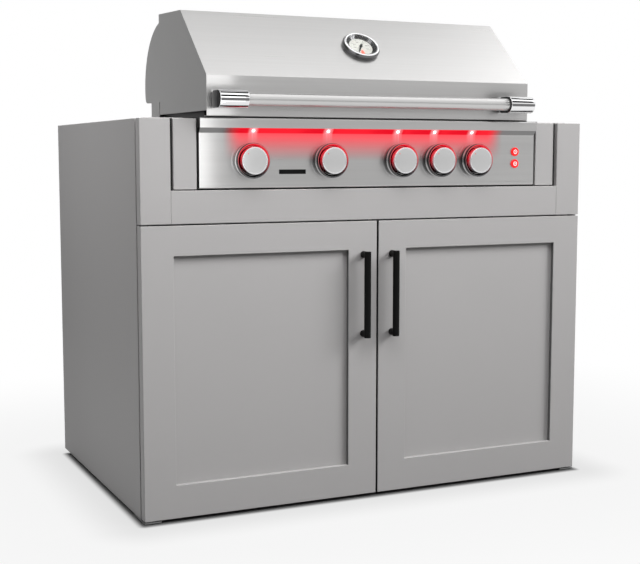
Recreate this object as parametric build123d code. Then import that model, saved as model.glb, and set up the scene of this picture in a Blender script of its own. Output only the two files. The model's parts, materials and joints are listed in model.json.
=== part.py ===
from build123d import *
import os

# A built-in gas grill standing in its own two-door cabinet.
# Millimetres, +Z up, the doors face -Y, and the origin is on the floor under the middle of the object.

# Cabinet boards
cabinet_width = 1067.0
cabinet_depth = 706.0  # door fronts to the back of the cabinet
cabinet_height = 828.0  # floor to the top of the side panels
board = 20.0
back_board = 12.0
edge_round = 1.2
deck_rise = 2.0  # deck boards above the side panels
rear_deck_depth = 236.0

# Glides under the floor board
foot_height = 5.0
foot_radius = 20.0
foot_inset = 60.0  # foot centre from the inside faces of the carcass
foot_stud_radius = 5.0
foot_stud_length = 12.0

# Openings in the back board
gas_hole_radius = 30.0
gas_hole_x = 330.0
lead_hole_radius = 12.0
lead_hole_x = -380.0
service_height = 250.0  # both holes above the floor
vent_length = 150.0
vent_height = 10.0
vent_pitch = 24.0
vent_count = 6
vent_x = 230.0  # middle of each row of vents from the middle of the cabinet
vent_bottom = 420.0

# Fixed fronts round the grill
front_thickness = 24.0
swing_gap = 7.0  # air behind the fronts, which lets the doors turn on their pivots
stile_width = 64.0
rail_height = 67.5
bay_height = 145.0  # top of the front rail to the top of the cabinet
filler_width = 49.5
filler_setback = 5.0
filler_gap = 7.5  # filler strip to stile
filler_lift = 2.0  # filler strip above the front rail
spacer_radius = 12.0
spacer_inset = 20.0  # stile spacers from the side panels
rail_spacer_x = 250.0

# Doors
reveal = 4.5  # gap between the doors
top_reveal = 3.0  # gap above the doors
door_stile_width = 68.5
door_head_width = 62.0
door_base_width = 70.0
door_recess = 9.0
door_panel_thickness = 6.0
rebate = 10.0
panel_play = 0.5  # door panel in its rebate

# Door pivots
pivot_inset = 11.0  # pivot axis from the door's outer edge
pin_radius = 4.0
pin_depth = 20.0
bush_radius = 7.0
bush_length = 22.0
bush_flange = 2.0
bush_flange_radius = 10.0
bracket_thickness = 3.0
bracket_width = 36.0
bracket_setback = 2.0  # bracket behind the door fronts
bracket_reach = 45.0  # bracket behind the front edge of the carcass
running = 0.05  # radial play of every turning or sliding round fit
end_play = 0.3

# Door pulls, screws and catches
pull_radius = 7.4
pull_centres = 173.0
pull_standoff = 21.0  # bar axis in front of the door
pull_x = 35.0  # bar axis from the middle of the cabinet
pull_top = 72.5  # upper post below the top of the door
screw_radius = 2.0
screw_clearance = 0.25
screw_head_radius = 4.0
screw_head_height = 2.5
screw_grip = 14.0  # screw inside the post
strike_thickness = 1.5
strike_width = 40.0
strike_height = 12.0
catch_height = 14.0
catch_depth = 24.0
catch_gap = 0.5
catch_x = 30.0

# Grill body
sheet = 1.5
bend_radius = 2.5
panel_gap = 5.5  # control panel to filler strip
panel_lift = 3.5  # control panel above the front rail
panel_setback = 5.0  # panel face behind the door fronts
lip_overhang = 8.0  # lip in front of the panel face
lip_height = 20.0
lip_slope = 10.5  # height of the sloped light band under the lip
panel_top_depth = 61.0
panel_return = 30.0
firebox_inset = 35.0  # firebox wall from the end of the control panel
firebox_setback = 70.0  # front wall behind the door fronts
firebox_depth = 333.0
firebox_height = 180.0  # floor of the firebox below the deck
rim_height = 16.5
rim_return = 12.0
flange_seat = 17.5  # hanging flange on the deck boards
flange_front = 45.0  # flange in front of the firebox
flange_rear = 60.0
grate_depth = 18.0  # grate ledge below the deck
tamer_depth = 60.0  # flame tamer ledge below the deck
ledge_depth = 18.0
grease_hole_radius = 25.0

# Knobs, valves and burners
knob_height = 56.5  # knob axis above the bottom of the control panel
knob_shares = (-0.7268, -0.2828, 0.1364, 0.3749, 0.6079)  # knob places in half widths of the panel
burner_knobs = (0, 1, 2, 4)  # the other knob works the rear burner
bezel_radius = 36.5
bezel_inner_radius = 30.5
bezel_height = 21.5
bezel_round = 2.0
knob_radius = 28.3
knob_skirt_radius = 29.0
knob_skirt = 10.0
knob_length = 24.5
knob_round = 2.0
knob_wall = 4.0
knob_gap = 5.0  # back of the knob in front of the panel
hub_radius = 8.0
stem_radius = 4.0
stem_flat = 2.6  # flat of the stem from its axis
stem_length = 36.0  # behind the knob
stem_socket = 14.0
stem_hole_radius = 7.0
valve_front = 20.0  # valve body behind the door fronts
valve_length = 28.0
valve_half = 14.0
plug_radius = 8.0
plug_length = 14.0
stem_travel_bore = 6.0  # depth of the bore behind the plug
jet_radius = 4.0
jet_length = 12.0
stub_radius = 5.0
stub_length = 5.0
manifold_radius = 10.0
manifold_bore = 8.0
manifold_left_inset = 67.0  # closed end of the manifold from the end of the panel
manifold_right_inset = 25.0  # inlet end
strap_x = 200.0
strap_width = 16.0
strap_thickness = 3.0
inlet_size = 20.0
inlet_radius = 8.0
inlet_bore = 5.0
inlet_length = 22.0
burner_radius = 13.0
burner_wall = 1.5
burner_mouth = 54.0  # burner mouth behind the door fronts
burner_play = 0.3
tamer_share = 0.1523  # half of a flame tamer in half widths of the panel
tamer_rise = 38.0
tamer_foot = 9.0
tamer_play = 0.6
rear_burner_width = 480.0
rear_burner_depth = 20.0
rear_burner_height = 62.0
rear_burner_rim = 8.0
rear_burner_recess = 5.0

# Grates and warming rack
grate_count = 4
grate_gap = 1.0
grate_rods = 10
grate_rod_radius = 3.5
grate_bar_width = 10.0
grate_bar_height = 5.0
grate_play = 1.5
rod_sink = 1.0  # rods let into the bars they are welded to
rack_rods = 7
rack_rod_radius = 2.5
rack_leg_radius = 3.0
rack_height = 87.0  # above the firebox rim
rack_front = 155.0  # behind the firebox front wall
rack_depth = 100.0

# Panel lights and switches
light_radius = 3.5
light_proud = 1.0
light_flange_radius = 5.0
light_flange = 2.0
light_shares = (-0.7118, -0.2926, 0.1194, 0.3464, 0.5826)  # light places in half widths of the panel
switch_inset = 52.0  # switches from the end of the panel
switch_rise = 19.0  # upper switch above the knob axis
switch_pitch = 27.0
switch_flange_radius = 10.0
switch_flange = 2.5
switch_barrel_radius = 8.5
switch_barrel_length = 18.0
switch_back = 4.0
switch_hole_play = 0.2
button_radius = 7.0
button_proud = 1.0
button_length = 13.5

# Hood
hood_inset = 18.0  # hood end from the end of the control panel
hood_setback = 7.0  # front band behind the door fronts
hood_gap = 3.0  # hood above the control panel
hood_hem = 16.0
knee_height = 87.0  # above the deck
slope_run = 161.0
slope_rise = 145.0
top_depth = 152.0
top_rise = 6.0
side_lift = 15.0  # side plates above the deck
bumper_radius = 6.0
bumper_inset = 89.0  # bumpers from the ends of the hood

# Hood pivot and the housing behind it
hinge_back = 298.0  # pivot behind the hood front
hinge_height = 79.0  # pivot above the deck
hinge_pin_radius = 5.0
hinge_head_radius = 9.0
hinge_head = 3.0
hinge_pad_radius = 12.0
hinge_pad = 3.5
housing_gap = 1.0  # housing ends to the pivot pads of the hood
housing_radius = 146.0
housing_plate = 2.0
housing_front = 20.0  # end plates in front of the pivot
housing_floor = 45.0  # bulge floor above the deck
housing_corner = 14.0
leg_depth = 61.0

# Hood handle
handle_height = 37.0  # bar axis above the deck
handle_standoff = 32.0  # bar axis in front of the hood
handle_inset = 11.5  # handle ends from the ends of the hood
bar_radius = 13.5
post_radius = 18.5
post_length = 64.0
post_round = 2.0
post_heel_round = 8.0
bar_socket = 15.0

# Hood gauge
gauge_radius = 43.0
gauge_height = 12.0
gauge_round = 2.5
gauge_base = 2.0
dial_radius = 27.0
dial_thickness = 1.5
funnel_radius = 35.0  # the case widens from the dial to the glass
glass_seat = 1.5  # wider than the funnel
glass_thickness = 2.0
glass_cover = 1.0
gauge_stem_radius = 5.0
gauge_stem_length = 45.0
gauge_hole_play = 0.3
needle_length = 22.0
needle_tail = 9.0
needle_half_width = 2.4
needle_thickness = 1.0
needle_hub_radius = 3.5
needle_pin_radius = 1.5
needle_lift = 0.4
needle_rest = 30.0  # degrees clockwise from straight down

# Drip tray
tray_gap = 56.0  # top of the tray below the firebox
tray_depth = 28.0
tray_inset = 32.0  # tray walls from the firebox walls
tray_front = 20.0  # behind the firebox front wall
tray_length = 300.0
tray_flange = 12.0
tray_play = 0.3
tray_side_play = 1.5
tray_grip = 12.0
tray_grip_width = 120.0

# Places worked out from the sizes
half_width = cabinet_width / 2
inside_half = half_width - board
handle_reach = handle_standoff + post_radius - hood_setback
front_y = (handle_reach - cabinet_depth) / 2
fronts_back_y = front_y + front_thickness
carcass_y = fronts_back_y + swing_gap
back_y = front_y + cabinet_depth
back_inside_y = back_y - back_board
deck_top = cabinet_height + deck_rise
deck_bottom = deck_top - board
rail_top = cabinet_height - bay_height
rail_bottom = rail_top - rail_height
stile_inner = half_width - stile_width
door_top = rail_bottom - top_reveal
door_bottom = foot_height + bush_flange
door_inner = reveal / 2
pivot_x = half_width - pivot_inset
pivot_y = front_y + front_thickness / 2
bay_half = stile_inner - filler_gap - filler_width
panel_half = bay_half - panel_gap
panel_y = front_y + panel_setback
panel_bottom = rail_top + panel_lift
lip_y = panel_y - lip_overhang
lip_bottom = deck_top - lip_height
firebox_half = panel_half - firebox_inset
firebox_front = front_y + firebox_setback
firebox_back = firebox_front + firebox_depth
firebox_bottom = deck_top - firebox_height
flange_top = deck_top + sheet
rim_top = flange_top + rim_height
grate_z = deck_top - grate_depth
tamer_z = deck_top - tamer_depth
knob_z = panel_bottom + knob_height
knob_back_y = panel_y - knob_gap
knob_places = [share * panel_half for share in knob_shares]
light_places = [share * panel_half for share in light_shares]
burner_places = [knob_places[index] for index in burner_knobs]
valve_y = front_y + valve_front
valve_back_y = valve_y + valve_length
manifold_y = valve_y + valve_length / 2
manifold_z = knob_z - valve_half - manifold_radius
manifold_left = panel_half - manifold_left_inset
manifold_right = panel_half - manifold_right_inset
tamer_half_width = panel_half * tamer_share
switch_x = panel_half - switch_inset
hood_half = panel_half - hood_inset
hood_front = front_y + hood_setback
hood_bottom = deck_top + hood_gap
knee_z = deck_top + knee_height
slope_top_y = hood_front + slope_run
slope_top_z = knee_z + slope_rise
hood_rear = slope_top_y + top_depth
hood_top = slope_top_z + top_rise
side_bottom = deck_top + side_lift
hinge_y = hood_front + hinge_back
hinge_z = deck_top + hinge_height
housing_half = hood_half - sheet - hinge_pad - housing_gap
housing_floor_z = deck_top + housing_floor
leg_front = firebox_back - leg_depth
handle_y = hood_front - handle_standoff
handle_z = deck_top + handle_height
handle_half = hood_half - handle_inset
tray_top = firebox_bottom - tray_gap
tray_bottom = tray_top - tray_depth
tray_half = firebox_half - tray_inset
tray_front_y = firebox_front + tray_front
runner_x = tray_half + tray_flange + tray_side_play
SIDES = (-1, 1)


def block(x, y, z):
    """A box between a low and a high value along each axis."""
    spans = [(min(pair), max(pair)) for pair in (x, y, z)]
    middle = [(low + high) / 2 for low, high in spans]
    return Pos(*middle) * Box(*[high - low for low, high in spans])


def board_block(x, y, z):
    """A cabinet board with its edges eased."""
    plain = block(x, y, z)
    return fillet(plain.edges(), edge_round)


def rod(start, end, radius):
    """A round bar between two points."""
    axis = Vector(end) - Vector(start)
    place = Plane(origin=start, z_dir=axis)
    return place * Cylinder(radius, axis.length, align=(Align.CENTER, Align.CENTER, Align.MIN))


def ring(start, end, radius, bore):
    """A round tube between two points."""
    return rod(start, end, radius) - rod(start, end, bore)


def folded_sheet(points, half_length):
    """Sheet metal folded along a (y, z) outline, its thickness to the left, centred on X = 0."""
    outline = FilletPolyline(*points, radius=bend_radius)
    section = make_face(offset(outline, sheet, side=Side.LEFT))
    return extrude(Plane.YZ * section, half_length, both=True)


def plate_across(section, x, thickness):
    """A flat (y, z) outline turned into a plate that starts at x and grows towards the outside."""
    grow = thickness if x > 0 else -thickness
    return extrude(Plane.YZ.offset(x) * section, grow, dir=(1, 0, 0))


def area(y, z):
    """A (y, z) rectangle between low and high values."""
    middle = Pos((y[0] + y[1]) / 2, (z[0] + z[1]) / 2)
    return middle * Rectangle(y[1] - y[0], z[1] - z[0])


def facing_front(x, y, z):
    """A place whose own +Z points out of the front of the grill."""
    return Pos(x, y, z) * Rot(90, 0, 0)


def side_panel(side):
    return board_block(
        (side * inside_half, side * half_width), (carcass_y, back_y), (foot_height, cabinet_height)
    )


def back_panel():
    panel = board_block((-inside_half, inside_half), (back_inside_y, back_y), (foot_height, deck_bottom))
    for x, radius in ((gas_hole_x, gas_hole_radius), (lead_hole_x, lead_hole_radius)):
        panel -= rod((x, back_inside_y, service_height), (x, back_y, service_height), radius)
    slot = extrude(Plane.XZ * SlotOverall(vent_length, vent_height), back_board, both=True)
    for side in SIDES:
        for row in range(vent_count):
            panel -= Pos(side * vent_x, back_y, vent_bottom + row * vent_pitch) * slot
    return panel


def foot_places():
    across = inside_half - foot_inset
    front = carcass_y + foot_inset
    rear = back_inside_y - foot_inset
    return [(side * across, y) for side in SIDES for y in (front, rear)]


def floor_panel():
    panel = board_block(
        (-inside_half, inside_half), (carcass_y, back_inside_y), (foot_height, foot_height + board)
    )
    for x, y in foot_places():
        panel -= rod((x, y, foot_height), (x, y, foot_height + foot_stud_length), foot_stud_radius)
    return panel


def levelling_feet():
    feet = []
    for x, y in foot_places():
        disc = rod((x, y, 0), (x, y, foot_height), foot_radius)
        rim = disc.edges().group_by(Axis.Z)[0]
        stud = rod((x, y, foot_height), (x, y, foot_height + foot_stud_length), foot_stud_radius)
        feet.append(fillet(rim, edge_round) + stud)
    return feet


def deck_boards():
    boards = [
        board_block((side * bay_half, side * inside_half), (carcass_y, back_y), (deck_bottom, deck_top))
        for side in SIDES
    ]
    rear = board_block((-bay_half, bay_half), (back_y - rear_deck_depth, back_y), (deck_bottom, deck_top))
    return boards + [rear]


def front_boards():
    y = (carcass_y, carcass_y + board)
    return [
        board_block((side * bay_half, side * inside_half), y, (rail_top, deck_bottom)) for side in SIDES
    ]


def cross_rail():
    return board_block((-inside_half, inside_half), (carcass_y, carcass_y + board), (rail_bottom, rail_top))


def front_rail():
    return board_block((-stile_inner, stile_inner), (front_y, fronts_back_y), (rail_bottom, rail_top))


def front_stiles():
    stiles = []
    for side in SIDES:
        stile = board_block(
            (side * stile_inner, side * half_width), (front_y, fronts_back_y), (rail_bottom, cabinet_height)
        )
        hole_end = (side * pivot_x, pivot_y, rail_bottom + pin_depth)
        stiles.append(stile - rod((side * pivot_x, pivot_y, rail_bottom), hole_end, pin_radius))
    return stiles


def filler_strips():
    outer = stile_inner - filler_gap
    return [
        board_block(
            (side * bay_half, side * outer),
            (front_y + filler_setback, carcass_y),
            (rail_top + filler_lift, cabinet_height),
        )
        for side in SIDES
    ]


def front_spacers():
    """Discs that hold the fixed fronts clear of the carcass, where screws go through."""
    rail_middle = (rail_bottom + rail_top) / 2
    spots = [(x, rail_middle) for x in (-rail_spacer_x, 0, rail_spacer_x)]
    bay = deck_bottom - rail_top
    for side in SIDES:
        x = side * (inside_half - spacer_inset)
        spots += [(x, rail_middle), (x, rail_top + bay / 4), (x, rail_top + bay * 3 / 4)]
    return [rod((x, fronts_back_y, z), (x, carcass_y, z), spacer_radius) for x, z in spots]


def door_pivots():
    """Pins in the stiles above the doors, and brackets with pins under the carcass below them."""
    pivots = []
    for side in SIDES:
        x = side * pivot_x
        upper_low = (x, pivot_y, door_top - pin_depth)
        upper_high = (x, pivot_y, rail_bottom + pin_depth)
        pivots.append(rod(upper_low, upper_high, pin_radius))
        plate = block(
            (side * (half_width - bracket_width), side * half_width),
            (front_y + bracket_setback, carcass_y + bracket_reach),
            (foot_height - bracket_thickness, foot_height),
        )
        pin_top = (x, pivot_y, foot_height + pin_depth)
        pivots.append(plate + rod((x, pivot_y, foot_height), pin_top, pin_radius))
    return pivots


def door_window(grow, y):
    """The opening in a left door frame, grown by the rebate where the panel sits."""
    inner = door_inner + door_stile_width - grow
    outer = half_width - door_stile_width + grow
    low = door_bottom + door_base_width - grow
    high = door_top - door_head_width + grow
    return block((-outer, -inner), y, (low, high))


def pull_heights():
    upper = door_top - pull_top
    return (upper - pull_centres, upper)


def door_frame(side):
    """One ring cut from a single board, modelled as the left door and mirrored for the right."""
    slab = board_block((-half_width, -door_inner), (front_y, fronts_back_y), (door_bottom, door_top))
    frame = slab - door_window(0, (front_y, fronts_back_y))
    window_edges = new_edges(slab, combined=frame)
    frame = fillet(window_edges.filter_by_position(Axis.Y, front_y, front_y), edge_round)
    frame -= door_window(rebate, (front_y + door_recess, fronts_back_y))
    for low, high in ((door_bottom, door_bottom + bush_length), (door_top - bush_length, door_top)):
        frame -= rod((-pivot_x, pivot_y, low), (-pivot_x, pivot_y, high), bush_radius)
    for z in pull_heights():
        frame -= rod((-pull_x, front_y, z), (-pull_x, fronts_back_y, z), screw_radius + screw_clearance)
    return handed(frame, side)


def door_panel(side):
    y = (front_y + door_recess, front_y + door_recess + door_panel_thickness)
    return handed(door_window(rebate - panel_play, y), side)


def handed(part, side):
    """The part as it is for the left door, or its mirror image for the right one."""
    return part if side < 0 else mirror(part, about=Plane.YZ)


def door_bushes(side):
    bushes = []
    for face_z, inwards in ((door_bottom, 1), (door_top, -1)):
        x, y = side * pivot_x, pivot_y
        outer_z = face_z - inwards * bush_flange
        body = rod((x, y, face_z), (x, y, face_z + inwards * bush_length), bush_radius)
        body += rod((x, y, face_z), (x, y, outer_z), bush_flange_radius)
        bore_end = face_z + inwards * (pin_depth + end_play)
        bushes.append(body - rod((x, y, outer_z), (x, y, bore_end), pin_radius + running))
    return bushes


def door_handle(side):
    x = side * pull_x
    bar_y = front_y - pull_standoff
    low, high = pull_heights()
    bar = rod((x, bar_y, low - pull_radius), (x, bar_y, high + pull_radius), pull_radius)
    bar = fillet(bar.edges().filter_by(GeomType.CIRCLE), edge_round)
    for z in (low, high):
        bar += rod((x, bar_y, z), (x, front_y, z), pull_radius)
    for z in (low, high):
        bar -= rod((x, front_y, z), (x, front_y - screw_grip, z), screw_radius)
    return bar


def door_fixings(side):
    """The two screws of the pull, and the strike plate that the catch holds."""
    x = side * pull_x
    fixings = []
    for z in pull_heights():
        shank = rod((x, fronts_back_y, z), (x, front_y - screw_grip, z), screw_radius)
        head = rod((x, fronts_back_y, z), (x, fronts_back_y + screw_head_height, z), screw_head_radius)
        fixings.append(shank + head)
    middle = side * catch_x
    top = door_top - edge_round
    fixings.append(
        block(
            (middle - strike_width / 2, middle + strike_width / 2),
            (fronts_back_y, fronts_back_y + strike_thickness),
            (top - strike_height, top),
        )
    )
    return fixings


def door_catches():
    front = fronts_back_y + strike_thickness + catch_gap
    return [
        board_block(
            (side * catch_x - strike_width / 2, side * catch_x + strike_width / 2),
            (front, front + catch_depth),
            (rail_bottom - catch_height, rail_bottom),
        )
        for side in SIDES
    ]


def firebox():
    """The open steel box that hangs in the cabinet by its flange, with ledges, rim and tray runners."""
    walls = block((-firebox_half, firebox_half), (firebox_front, firebox_back), (firebox_bottom, rim_top))
    hollow_x = (-firebox_half + sheet, firebox_half - sheet)
    hollow_y = (firebox_front + sheet, firebox_back - sheet)
    flange_half = bay_half + flange_seat
    flange = block(
        (-flange_half, flange_half),
        (firebox_front - flange_front, firebox_back + flange_rear),
        (deck_top, flange_top),
    )
    rear_cut = block((-firebox_half, firebox_half), (leg_front, firebox_back), (flange_top, rim_top))
    box = walls - rear_cut + flange
    box -= block(hollow_x, hollow_y, (firebox_bottom + sheet, rim_top - sheet))
    mouth_x = (-firebox_half + rim_return, firebox_half - rim_return)
    box -= block(mouth_x, (firebox_front + rim_return, firebox_back), (rim_top - sheet, rim_top))
    for ledge_top in (grate_z, tamer_z):
        for wall, inwards in ((hollow_y[0], 1), (hollow_y[1], -1)):
            box += block(hollow_x, (wall, wall + inwards * ledge_depth), (ledge_top - sheet, ledge_top))
    for x in burner_places:
        hole = burner_radius + burner_play
        box -= rod((x, firebox_front, knob_z), (x, firebox_front + sheet, knob_z), hole)
    middle_y = (firebox_front + firebox_back) / 2
    box -= rod((0, middle_y, firebox_bottom), (0, middle_y, firebox_bottom + sheet), grease_hole_radius)
    runner_y = (tray_front_y, tray_front_y + tray_length)
    ledge_top = tray_top - sheet - tray_play
    for side in SIDES:
        web_x = (side * runner_x, side * (runner_x + sheet))
        box += block(web_x, runner_y, (ledge_top - sheet, firebox_bottom))
        foot_x = (side * (tray_half + tray_side_play), side * (runner_x + sheet))
        box += block(foot_x, runner_y, (ledge_top - sheet, ledge_top))
    return box


def panel_outline():
    """(y, z) corners of the control panel's outer face, from the back of its top to its bottom return."""
    return [
        (lip_y + panel_top_depth, deck_top),
        (lip_y, deck_top),
        (lip_y, lip_bottom),
        (panel_y, lip_bottom - lip_slope),
        (panel_y, panel_bottom),
        (panel_y + panel_return, panel_bottom),
    ]


def on_light_band(x):
    """The middle of the sloped band under the lip, with +Z pointing out of it."""
    middle = (x, (lip_y + panel_y) / 2, lip_bottom - lip_slope / 2)
    return Plane(origin=middle, x_dir=(1, 0, 0), z_dir=(0, -lip_slope, -lip_overhang))


def switch_places():
    upper = knob_z + switch_rise
    return [(switch_x, upper), (switch_x, upper - switch_pitch)]


def control_panel():
    points = panel_outline()
    panel = folded_sheet(points, panel_half)
    around = Polyline(points[-1], (points[0][0], panel_bottom), points[0])
    cheek = make_face([FilletPolyline(*points, radius=bend_radius), around])
    for side in SIDES:
        panel += plate_across(cheek, side * (panel_half - sheet), sheet)
    for x in knob_places:
        panel -= rod((x, panel_y, knob_z), (x, panel_y + sheet, knob_z), stem_hole_radius)
    for x in light_places:
        panel -= on_light_band(x) * Cylinder(light_radius, 4 * sheet)
    for x, z in switch_places():
        hole = switch_barrel_radius + switch_hole_play
        panel -= rod((x, panel_y, z), (x, panel_y + sheet, z), hole)
    return panel


def panel_lights():
    lens = rod((0, 0, -sheet), (0, 0, light_proud), light_radius)
    lens = fillet(lens.edges().group_by(Axis.Z)[-1], light_proud / 2)
    lens += rod((0, 0, -sheet - light_flange), (0, 0, -sheet), light_flange_radius)
    return [on_light_band(x) * lens for x in light_places]


def knob_bezels():
    bezel = ring((0, 0, 0), (0, 0, bezel_height), bezel_radius, bezel_inner_radius)
    bezel = fillet(bezel.edges().group_by(Axis.Z)[-1], bezel_round)
    return [facing_front(x, panel_y, knob_z) * bezel for x in knob_places]


def stem_section(radius, flat):
    """A round section with one flat side."""
    return Circle(radius) & Pos(0, flat - radius) * Rectangle(2 * radius, 2 * radius)


def knob(x):
    """A hollow turned knob and the stem that is pressed into its hub."""
    profile = Polyline(
        (0, 0),
        (knob_skirt_radius, 0),
        (knob_skirt_radius, knob_skirt),
        (knob_radius, knob_length),
        (0, knob_length),
        close=True,
    )
    body = revolve(Plane.XZ * make_face(profile), Axis.Z)
    body = fillet(body.edges().group_by(Axis.Z)[-1], knob_round)
    cavity_depth = knob_length - knob_wall
    body -= ring((0, 0, 0), (0, 0, cavity_depth), knob_radius - knob_wall, hub_radius)
    body -= extrude(stem_section(stem_radius, stem_flat), stem_socket)
    stem = Pos(0, 0, -stem_length) * extrude(stem_section(stem_radius, stem_flat), stem_length + stem_socket)
    place = facing_front(x, knob_back_y, knob_z)
    return [place * body, place * stem]


def valve_plug(x):
    plug = rod((0, 0, -plug_length), (0, 0, 0), plug_radius)
    bore = extrude(stem_section(stem_radius + running, stem_flat + running), plug_length)
    return facing_front(x, valve_y + end_play, knob_z) * (plug - Pos(0, 0, -plug_length) * bore)


def gas_valves():
    valves = []
    for x in knob_places:
        body = block(
            (x - valve_half, x + valve_half),
            (valve_y, valve_back_y),
            (knob_z - valve_half, knob_z + valve_half),
        )
        plug_end = valve_y + plug_length + 2 * end_play
        body -= rod((x, valve_y, knob_z), (x, plug_end, knob_z), plug_radius + running)
        body -= rod((x, plug_end, knob_z), (x, plug_end + stem_travel_bore, knob_z), stem_radius + end_play)
        body += rod((x, valve_back_y, knob_z), (x, valve_back_y + jet_length, knob_z), jet_radius)
        stub_top = knob_z - valve_half
        body += rod((x, manifold_y, stub_top), (x, manifold_y, stub_top - stub_length), stub_radius)
        valves.append(body)
    return valves


def gas_manifold():
    """The gas tube under the valves, its two straps to the firebox, and its inlet elbow."""
    left = (-manifold_left, manifold_y, manifold_z)
    right = (manifold_right, manifold_y, manifold_z)
    tube = rod(left, right, manifold_radius)
    for side in SIDES:
        tube += block(
            (side * strap_x - strap_width / 2, side * strap_x + strap_width / 2),
            (manifold_y, firebox_front),
            (manifold_z - strap_thickness / 2, manifold_z + strap_thickness / 2),
        )
    wall = manifold_radius - manifold_bore
    tube -= rod((-manifold_left + wall, manifold_y, manifold_z), right, manifold_bore)
    for x in knob_places:
        hole_top = manifold_z + manifold_radius
        tube -= rod((x, manifold_y, manifold_z), (x, manifold_y, hole_top), stub_radius + running)
    elbow_x = manifold_right + inlet_size / 2
    elbow_y = manifold_y + inlet_size / 2
    elbow = block(
        (manifold_right, manifold_right + inlet_size),
        (manifold_y - inlet_size / 2, elbow_y),
        (manifold_z - inlet_size / 2, manifold_z + inlet_size / 2),
    )
    nipple_end = (elbow_x, elbow_y + inlet_length, manifold_z)
    elbow += rod((elbow_x, elbow_y, manifold_z), nipple_end, inlet_radius)
    elbow -= rod((elbow_x, manifold_y, manifold_z), nipple_end, inlet_bore)
    elbow -= rod(right, (elbow_x, manifold_y, manifold_z), inlet_bore)
    return [tube, elbow]


def burners():
    mouth = front_y + burner_mouth
    end = firebox_back - sheet
    return [
        rod((x, mouth, knob_z), (x, end, knob_z), burner_radius)
        - rod((x, mouth, knob_z), (x, end - burner_wall, knob_z), burner_radius - burner_wall)
        for x in burner_places
    ]


def flame_tamers():
    edge = tamer_half_width + tamer_foot
    outline = Polyline(
        (edge, sheet),
        (tamer_half_width, sheet),
        (0, tamer_rise),
        (-tamer_half_width, sheet),
        (-edge, sheet),
    )
    section = make_face(offset(outline, sheet, side=Side.LEFT))
    length = firebox_depth - 2 * sheet - 2 * tamer_play
    rear = firebox_back - sheet - tamer_play
    tamer = extrude(Plane.XZ * section, length)
    return [Pos(x, rear, tamer_z) * tamer for x in burner_places]


def cooking_grates():
    inside = 2 * (firebox_half - sheet - grate_play)
    width = (inside - (grate_count - 1) * grate_gap) / grate_count
    front = firebox_front + sheet + grate_play
    rear = firebox_back - sheet - grate_play
    rod_z = grate_z + grate_bar_height + grate_rod_radius - rod_sink
    reach = width / 2 - grate_rod_radius
    grate = Part()
    for index in range(grate_rods):
        x = -reach + index * 2 * reach / (grate_rods - 1)
        grate += rod((x, front, rod_z), (x, rear, rod_z), grate_rod_radius)
    middle = (front + rear - grate_bar_width) / 2
    for bar_front in (front, middle, rear - grate_bar_width):
        bar_y = (bar_front, bar_front + grate_bar_width)
        grate += block((-width / 2, width / 2), bar_y, (grate_z, grate_z + grate_bar_height))
    first = -(inside - width) / 2
    return [Pos(first + index * (width + grate_gap), 0, 0) * grate for index in range(grate_count)]


def warming_rack():
    """A wire shelf whose four legs stand on the folded rim of the firebox."""
    side_x = firebox_half - rim_return / 2
    front = firebox_front + rack_front
    rear = front + rack_depth
    shelf_z = rim_top + rack_height
    rack = Part()
    for side in SIDES:
        x = side * side_x
        rack += rod((x, front, shelf_z), (x, rear, shelf_z), rack_leg_radius)
        for y in (front + rack_leg_radius, rear - rack_leg_radius):
            rack += rod((x, y, rim_top), (x, y, shelf_z), rack_leg_radius)
    reach = rack_depth - 2 * rack_leg_radius
    for index in range(rack_rods):
        y = front + rack_leg_radius + index * reach / (rack_rods - 1)
        rack += rod((-side_x, y, shelf_z), (side_x, y, shelf_z), rack_rod_radius)
    return rack


def housing_area(inset):
    """(y, z) outline of the rear housing's ends: a bulge about the pivot on two straight legs."""
    front = hinge_y - housing_front + inset
    crown = hinge_z + housing_radius
    bulge = Pos(hinge_y, hinge_z) * Circle(housing_radius - inset)
    bulge &= area((front, hinge_y + housing_radius), (housing_floor_z + inset, crown))
    rear_corner = bulge.vertices().group_by(Axis.Y)[0].sort_by(Axis.X)[-1]
    bulge = fillet(rear_corner, housing_corner - inset)
    leg = area((leg_front + inset, firebox_back - inset), (flange_top, hinge_z))
    return bulge + leg


def rear_housing():
    """The fixed curved back that the hood rolls over, with an end plate at each side."""
    skin = housing_area(0) - housing_area(sheet)
    back = area((firebox_back - sheet, back_y), (flange_top, hood_top))
    roof = area((hinge_y - housing_front + 2 * sheet, back_y), (hinge_z, hood_top))
    skin &= back + roof
    inner_half = housing_half - housing_plate
    housing = extrude(Plane.YZ * skin, inner_half, both=True)
    for side in SIDES:
        plate = plate_across(housing_area(0), side * inner_half, housing_plate)
        hole = ((side * inner_half, hinge_y, hinge_z), (side * housing_half, hinge_y, hinge_z))
        housing += plate - rod(*hole, hinge_pin_radius)
    return housing


def hood_pivot_pins():
    pins = []
    for side in SIDES:
        inner = side * (housing_half - housing_plate)
        seat = (inner, hinge_y, hinge_z)
        head = rod((inner - side * hinge_head, hinge_y, hinge_z), seat, hinge_head_radius)
        end = (side * (hood_half - sheet - end_play), hinge_y, hinge_z)
        pins.append(head + rod(seat, end, hinge_pin_radius))
    return pins


def rear_burner():
    floor = housing_floor_z + sheet
    box = block(
        (-rear_burner_width / 2, rear_burner_width / 2),
        (firebox_back, firebox_back + rear_burner_depth),
        (floor, floor + rear_burner_height),
    )
    window_x = rear_burner_width / 2 - rear_burner_rim
    window_z = (floor + rear_burner_rim, floor + rear_burner_height - rear_burner_rim)
    return box - block((-window_x, window_x), (firebox_back, firebox_back + rear_burner_recess), window_z)


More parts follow.
